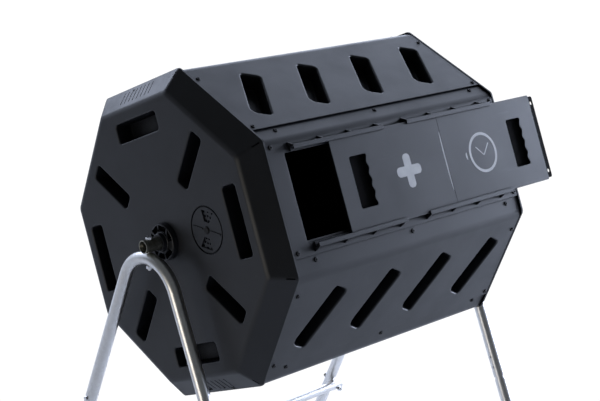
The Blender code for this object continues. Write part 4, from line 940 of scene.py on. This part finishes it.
def dialMesh():
    bm = bmesh.new()
    top = moved(z=dial["thickness"])
    flat = roundFace(bm, dial["radius"], top, segments=56)
    bm.normal_update()
    width = (dial["inner"] + dial["outer"]) * math.tan(dial["windowAngle"] / 2)
    windows = [wedgeFace(bm, dial["inner"], dial["outer"], width, dial["corner"],
                         top @ turned(side, "Z")) for side in (0, 180)]
    cutOut(bm, *windows, roundFace(bm, dial["pivotHole"], top, segments=16))
    fillAround(bm, flat)
    bm.normal_update()
    if bm.faces[:][0].normal.z < 0:
        bmesh.ops.reverse_faces(bm, faces=bm.faces)
    return settledMesh(bm, "dial", wall=dial["thickness"], edge=dial["edge"])


def ribMesh(angle):
    bm = bmesh.new()
    bmesh.ops.create_cube(bm, size=1)
    length = dial["radius"] - dial["ribEnd"] - dial["ribStart"]
    size = (length, dial["ribWidth"], dial["ribHeight"] + dial["ribSunk"])
    bmesh.ops.scale(bm, vec=size, verts=bm.verts)
    high = dial["thickness"] + (dial["ribHeight"] - dial["ribSunk"]) / 2
    bmesh.ops.translate(bm, vec=(dial["ribStart"] + length / 2, 0, high), verts=bm.verts)
    bmesh.ops.transform(bm, matrix=turned(angle, "Z"), verts=bm.verts)
    return settledMesh(bm, "rib", edge=dial["ribEdge"])


hubPiece, dialPiece = hubMesh(), dialMesh()
for side, name in ((-1, "left"), (1, "right")):
    face = onEnd(side) @ moved(z=endPanel["depth"])
    addPiece(f"hub_{name}", hubPiece, face, panelPlastic, "drum",
             [f"hub_bushing_{name}"])
    seat = face @ moved(z=gap - vent["recess"]) @ ventPlace
    addPiece(f"ventDial_{name}", dialPiece, seat, panelPlastic, f"vent_{name}",
             [f"vent_dial_{name}"])
    for number, angle in enumerate(dial["ribAngles"], 1):
        addPiece(f"ventRib_{name}_{number}", ribMesh(angle), seat, panelPlastic, f"vent_{name}")
print("hubs and vents made")

# stand: bent tube legs, axle and bars
stand = {"tube": 0.0111, "tubeWall": 0.0015, "angle": math.radians(24), "halfGap": 0.037,
         "jointHeight": 0.260, "swage": 0.060, "swageClearance": 0.0007, "swageSides": 12,
         "swageWall": 0.8, "shoulder": 0.006, "edge": 0.0003, "segments": 36,
         "bendSteps": 32, "barRadius": 0.0095, "barOverhang": 0.012, "axleOverhang": 0.013}
foot = {"wall": 0.0022, "length": 0.034, "floor": 0.0105, "floorHole": 0.001, "mouth": 0.0006,
        "lip": ((0.0012, 0.0), (0.0004, 0.0005), (0.0003, 0.0015)),  # (in, down) from its top
        "ribs": 3, "ribPitch": 0.005, "rib": 0.0006, "ribFlat": 0.0006, "ribHalf": 0.0012,
        "skirt": ((0.0003, 0.012), (0.0, 0.008), (0.0, -0.02)),  # (in, height)
        "edge": 0.0004}


def standPlace(x=0.0, z=0.0):
    return moved(drumMiddle.x + x, 0, z)


def legY(height):  # how far the legs stand out from the axle at a height
    return stand["halfGap"] + (drumMiddle.z - height) * math.tan(stand["angle"])


def ringOf(bm, radius, place):
    made = bmesh.ops.create_circle(bm, cap_ends=False, segments=stand["segments"],
                                   radius=radius)
    bmesh.ops.transform(bm, matrix=place, verts=made["verts"])
    return list({edge for vert in made["verts"] for edge in vert.link_edges})


def pushRing(bm, edges, shift, ratio=1.0):
    # draws a tube on from its open end; ratio narrows it about the Z axis
    made = bmesh.ops.extrude_edge_only(bm, edges=edges)
    verts = newVerts(made)
    bmesh.ops.scale(bm, vec=(ratio, ratio, 1), verts=verts)
    bmesh.ops.translate(bm, vec=shift, verts=verts)
    return [edge for edge in newEdges(made) if all(vert in verts for vert in edge.verts)]


def tubeMesh(bm, name, spot, wall):
    # spot lies inside the tube, so the nearest face points away from it
    bmesh.ops.recalc_face_normals(bm, faces=bm.faces)
    bm.normal_update()
    face = min(bm.faces, key=lambda f: (f.calc_center_median() - spot).length)
    if face.normal.dot(face.calc_center_median() - spot) < 0:
        bmesh.ops.reverse_faces(bm, faces=bm.faces)
    return settledMesh(bm, name, wall=wall, edge=stand["edge"], segments=1)


def straightTube(length, radius, wall):
    bm = bmesh.new()
    edges = ringOf(bm, radius, moved(-length / 2) @ turned(90, "Y"))
    pushRing(bm, edges, (length, 0, 0))
    return tubeMesh(bm, "tube", Vector(), wall)


def upperLeg():
    # a hairpin: up one side, round the bend over the axle and down the other
    drop = drumMiddle.z - stand["jointHeight"]
    apexDrop = 2 * stand["tube"] + gap
    rise = stand["halfGap"] / math.tan(stand["angle"])
    radius = (rise + apexDrop) / (1 / math.sin(stand["angle"]) - 1)
    centreZ = -apexDrop - radius
    start = Vector((0, radius * math.cos(stand["angle"]),
                    centreZ + radius * math.sin(stand["angle"])))
    end = Vector((0, legY(stand["jointHeight"]), -drop))
    bm = bmesh.new()
    direction = (start - end).normalized()
    place = Matrix.Translation(end) @ direction.to_track_quat("Z", "X").to_matrix().to_4x4()
    edges = ringOf(bm, stand["tube"], place)
    edges = pushRing(bm, edges, start - end)
    verts = list({vert for edge in edges for vert in edge.verts})
    made = bmesh.ops.spin(bm, geom=verts + edges, cent=(0, 0, centreZ), axis=(1, 0, 0),
                          dvec=(0, 0, 0), angle=math.pi - 2 * stand["angle"],
                          steps=stand["bendSteps"])
    edges = [item for item in made["geom_last"] if isinstance(item, bmesh.types.BMEdge)]
    pushRing(bm, edges, Vector((0, -(end - start).y, (end - start).z)))
    return tubeMesh(bm, "upperLeg", (end + start) / 2, stand["tubeWall"])


def lowerLeg():
    # its swaged top goes up inside the upper leg, whose CAD bore has flat sides
    length = stand["jointHeight"] / math.cos(stand["angle"]) - foot["floor"] - gap
    bore = (stand["tube"] - stand["tubeWall"]) * math.cos(math.pi / stand["swageSides"])
    swage = bore - stand["swageClearance"]
    bm = bmesh.new()
    edges = ringOf(bm, stand["tube"], moved(z=-length))
    edges = pushRing(bm, edges, (0, 0, length - stand["shoulder"]))
    edges = pushRing(bm, edges, (0, 0, stand["shoulder"] - gap), swage / stand["tube"])
    pushRing(bm, edges, (0, 0, stand["swage"] + gap))
    return tubeMesh(bm, "lowerLeg", Vector((0, 0, -length / 2)),
                    stand["tubeWall"] * stand["swageWall"])


def footCap(side):
    # spun with its ribs round the leg, then leaned and cut flat at the ground
    bm = bmesh.new()
    inner = stand["tube"] + 1.5 * gap
    outer, top = inner + foot["wall"], foot["length"]
    ribbed = [(foot["floorHole"], foot["floor"]), (inner, foot["floor"]),
              (inner, top - foot["mouth"]), (inner + foot["mouth"], top)]
    ribbed += [(outer - reach, top - down) for reach, down in foot["lip"]]
    for step in range(1, foot["ribs"] + 1):
        z = top - foot["ribPitch"] * step
        ribbed += [(outer - foot["rib"], z + foot["ribHalf"]), (outer, z + foot["ribFlat"]),
                   (outer, z - foot["ribFlat"]), (outer - foot["rib"], z - foot["ribHalf"])]
    ribbed += [(outer - reach, height) for reach, height in foot["skirt"]]
    spunShell(bm, ribbed, segments=32)
    bmesh.ops.transform(bm, matrix=turned(side * math.degrees(stand["angle"])), verts=bm.verts)
    cut = bmesh.ops.bisect_plane(bm, geom=list(bm.verts) + list(bm.edges) + list(bm.faces),
                                 plane_co=(0, 0, 0), plane_no=(0, 0, -1), clear_outer=True)
    rims = [item for item in cut["geom_cut"] if isinstance(item, bmesh.types.BMEdge)]
    bmesh.ops.contextual_create(bm, geom=rims)  # the sole
    rims = [edge for edge in bm.edges if len(edge.link_faces) == 1]
    bmesh.ops.contextual_create(bm, geom=rims)  # the middle of the floor the leg stands on
    bmesh.ops.recalc_face_normals(bm, faces=bm.faces)
    return settledMesh(bm, "footCap", edge=foot["edge"])


axleLength = 2 * (legX + stand["axleOverhang"])
addPiece("axleTube", straightTube(axleLength, stand["tube"], stand["tubeWall"]),
         standPlace(z=drumMiddle.z), axleSteel, "stand", ["axle_tube"])
legTop, legLow = upperLeg(), lowerLeg()
capMeshes = {side: footCap(side) for side in (-1, 1)}
bar = straightTube(2 * (legX + stand["barOverhang"]), stand["barRadius"], stand["tubeWall"])
for xSide, end in ((-1, "left"), (1, "right")):
    addPiece(f"legTop_{end}", legTop, standPlace(xSide * legX, drumMiddle.z), galvanised, "stand",
             [f"upper_leg_{end}"])
    for side, where in ((-1, "front"), (1, "rear")):
        joint = moved(y=side * legY(stand["jointHeight"]))
        lean = turned(side * math.degrees(stand["angle"]))
        addPiece(f"legLow_{where}_{end}", legLow,
                 standPlace(xSide * legX, stand["jointHeight"]) @ joint @ lean, galvanised,
                 "stand", [f"lower_leg_{where}_{end}"])
        addPiece(f"footCap_{where}_{end}", capMeshes[side],
                 standPlace(xSide * legX) @ moved(y=side * legY(0)), footRubber, "stand",
                 [f"foot_cap_{where}_{end}"])
for side, where in ((-1, "front"), (1, "rear")):
    low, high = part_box(f"cross_bar_{where}")
    middle = (low + high) / 2
    addPiece(f"crossBar_{where}", bar, Matrix.Translation(middle), galvanised, "stand",
             [f"cross_bar_{where}"])
print("stand made")

# finishes of the CAD pieces that stay
carried = {"centre_divider": panelPlastic, "divider_bush": panelPlastic,
           "vent_pivot": screwBlack, "axle_bolt": brightZinc, "axle_nut": brightZinc,
           "leg_bolt": brightZinc, "bar_bolt": brightZinc, "bar_nut": brightZinc}
for name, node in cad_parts.items():
    for start, material in carried.items():
        if name.startswith(start):
            node.data.materials.clear()
            node.data.materials.append(material)

# floor, light and camera
studio = {"floor": (0.86, 0.86, 0.86), "floorVaries": 0.98, "floorRoughness": 0.9,
          "floorSize": 12, "contact": 0.10, "contactTone": 0.25, "contactFrom": 0.85,
          "background": 1.05, "aim": (0, 0, 0.55), "cool": (0.72, 0.80, 1.0),
          "warm": (1.0, 0.93, 0.82), "sky": (0.85, 0.92, 1.0), "skyStrength": 0.088}


def floorMaterial():
    # lit as a pale matt floor; seen directly it is white with soft contact shadows
    material, nodes, links = newMaterial("pale studio floor")
    shader = nodes["Principled BSDF"]
    coords = nodes.new("ShaderNodeTexCoord")
    cloud = addNoise(nodes, links, coords, 1.5, detail=3)
    low = tuple(part * studio["floorVaries"] for part in studio["floor"])
    base = addMix(nodes, links, cloud.outputs["Fac"], low, studio["floor"])
    links.new(base.outputs["Result"], shader.inputs["Base Color"])
    shader.inputs["Roughness"].default_value = studio["floorRoughness"]
    contact = nodes.new("ShaderNodeAmbientOcclusion")
    contact.inputs["Distance"].default_value = studio["contact"]
    tone = addRange(nodes, links, contact.outputs["AO"], studio["contactTone"],
                    studio["background"], fromLow=0, fromHigh=studio["contactFrom"])
    seen = nodes.new("ShaderNodeEmission")
    links.new(tone.outputs["Result"], seen.inputs["Strength"])
    path = nodes.new("ShaderNodeLightPath")
    mix = nodes.new("ShaderNodeMixShader")
    links.new(path.outputs["Is Camera Ray"], mix.inputs["Fac"])
    links.new(shader.outputs["BSDF"], mix.inputs[1])
    links.new(seen.outputs["Emission"], mix.inputs[2])
    # seen from below the floor is clear
    clear = nodes.new("ShaderNodeBsdfTransparent")
    sides = nodes.new("ShaderNodeNewGeometry")
    below = nodes.new("ShaderNodeMixShader")
    links.new(sides.outputs["Backfacing"], below.inputs["Fac"])
    links.new(mix.outputs["Shader"], below.inputs[1])
    links.new(clear.outputs["BSDF"], below.inputs[2])
    links.new(below.outputs["Shader"], nodes["Material Output"].inputs["Surface"])
    return material


floorMesh = bpy.data.meshes.new("studioFloor")
bm = bmesh.new()
bmesh.ops.create_grid(bm, x_segments=1, y_segments=1, size=studio["floorSize"])
bm.to_mesh(floorMesh)
bm.free()
floorMesh.materials.append(floorMaterial())
floorPiece = bpy.data.objects.new("studioFloor", floorMesh)
bpy.context.scene.collection.objects.link(floorPiece)


def softbox(name, place, size, power, aim=studio["aim"], colour=studio["cool"]):
    light = bpy.data.lights.new(name, "AREA")
    light.shape = "RECTANGLE"
    light.size, light.size_y = size
    light.energy = power
    light.color = colour
    lamp = bpy.data.objects.new(name, light)
    lamp.location = place
    lamp.rotation_euler = (Vector(aim) - Vector(place)).to_track_quat("-Z", "Y").to_euler()
    lamp.visible_camera = False
    bpy.context.scene.collection.objects.link(lamp)


softbox("keyRight", (2.6, 0.9, 2.3), (3.0, 3.0), 42)
softbox("backWall", (-0.4, 3.6, 1.6), (5.0, 3.0), 38)
softbox("backRight", (2.8, 2.8, 1.4), (3.0, 2.6), 66)
softbox("frontRight", (2.4, -2.4, 1.2), (2.0, 2.2), 13)
softbox("farRight", (3.4, -0.6, 1.0), (2.4, 2.0), 215)
softbox("backStrip", (-0.26, 3.3, 1.97), (1.6, 0.8), 16, (-0.33, 0, 0.85))
softbox("leftLow", (-3.0, 0.1, 0.35), (1.6, 0.7), 9, (-0.3, 0, 0.3), studio["warm"])

world = bpy.data.worlds.new("studio")
bpy.context.scene.world = world
world.use_nodes = True
nodes, links = world.node_tree.nodes, world.node_tree.links
shade = nodes["Background"]
shade.inputs["Color"].default_value = (*studio["sky"], 1)
shade.inputs["Strength"].default_value = studio["skyStrength"]
bright = nodes.new("ShaderNodeBackground")
bright.inputs["Color"].default_value = (1, 1, 1, 1)
bright.inputs["Strength"].default_value = studio["background"]
path = nodes.new("ShaderNodeLightPath")
mix = nodes.new("ShaderNodeMixShader")
links.new(path.outputs["Is Camera Ray"], mix.inputs["Fac"])
links.new(shade.outputs["Background"], mix.inputs[1])
links.new(bright.outputs["Background"], mix.inputs[2])
links.new(mix.outputs["Shader"], nodes["World Output"].inputs["Surface"])

view = {"lens": 83.68, "sensor": 36, "far": 60, "place": (-1.662, -1.758, 1.334),
        "turn": (73.8947, -0.338, -43.0983)}  # degrees about X, Y and Z
camera = bpy.data.cameras.new("camera")
camera.lens = view["lens"]
camera.sensor_width = view["sensor"]
camera.clip_end = view["far"]
cameraPiece = bpy.data.objects.new("camera", camera)
cameraPiece.location = view["place"]
cameraPiece.rotation_euler = [math.radians(angle) for angle in view["turn"]]
bpy.context.scene.collection.objects.link(cameraPiece)
bpy.context.scene.camera = cameraPiece
bpy.context.scene.view_settings.view_transform = "Standard"
print("studio made")
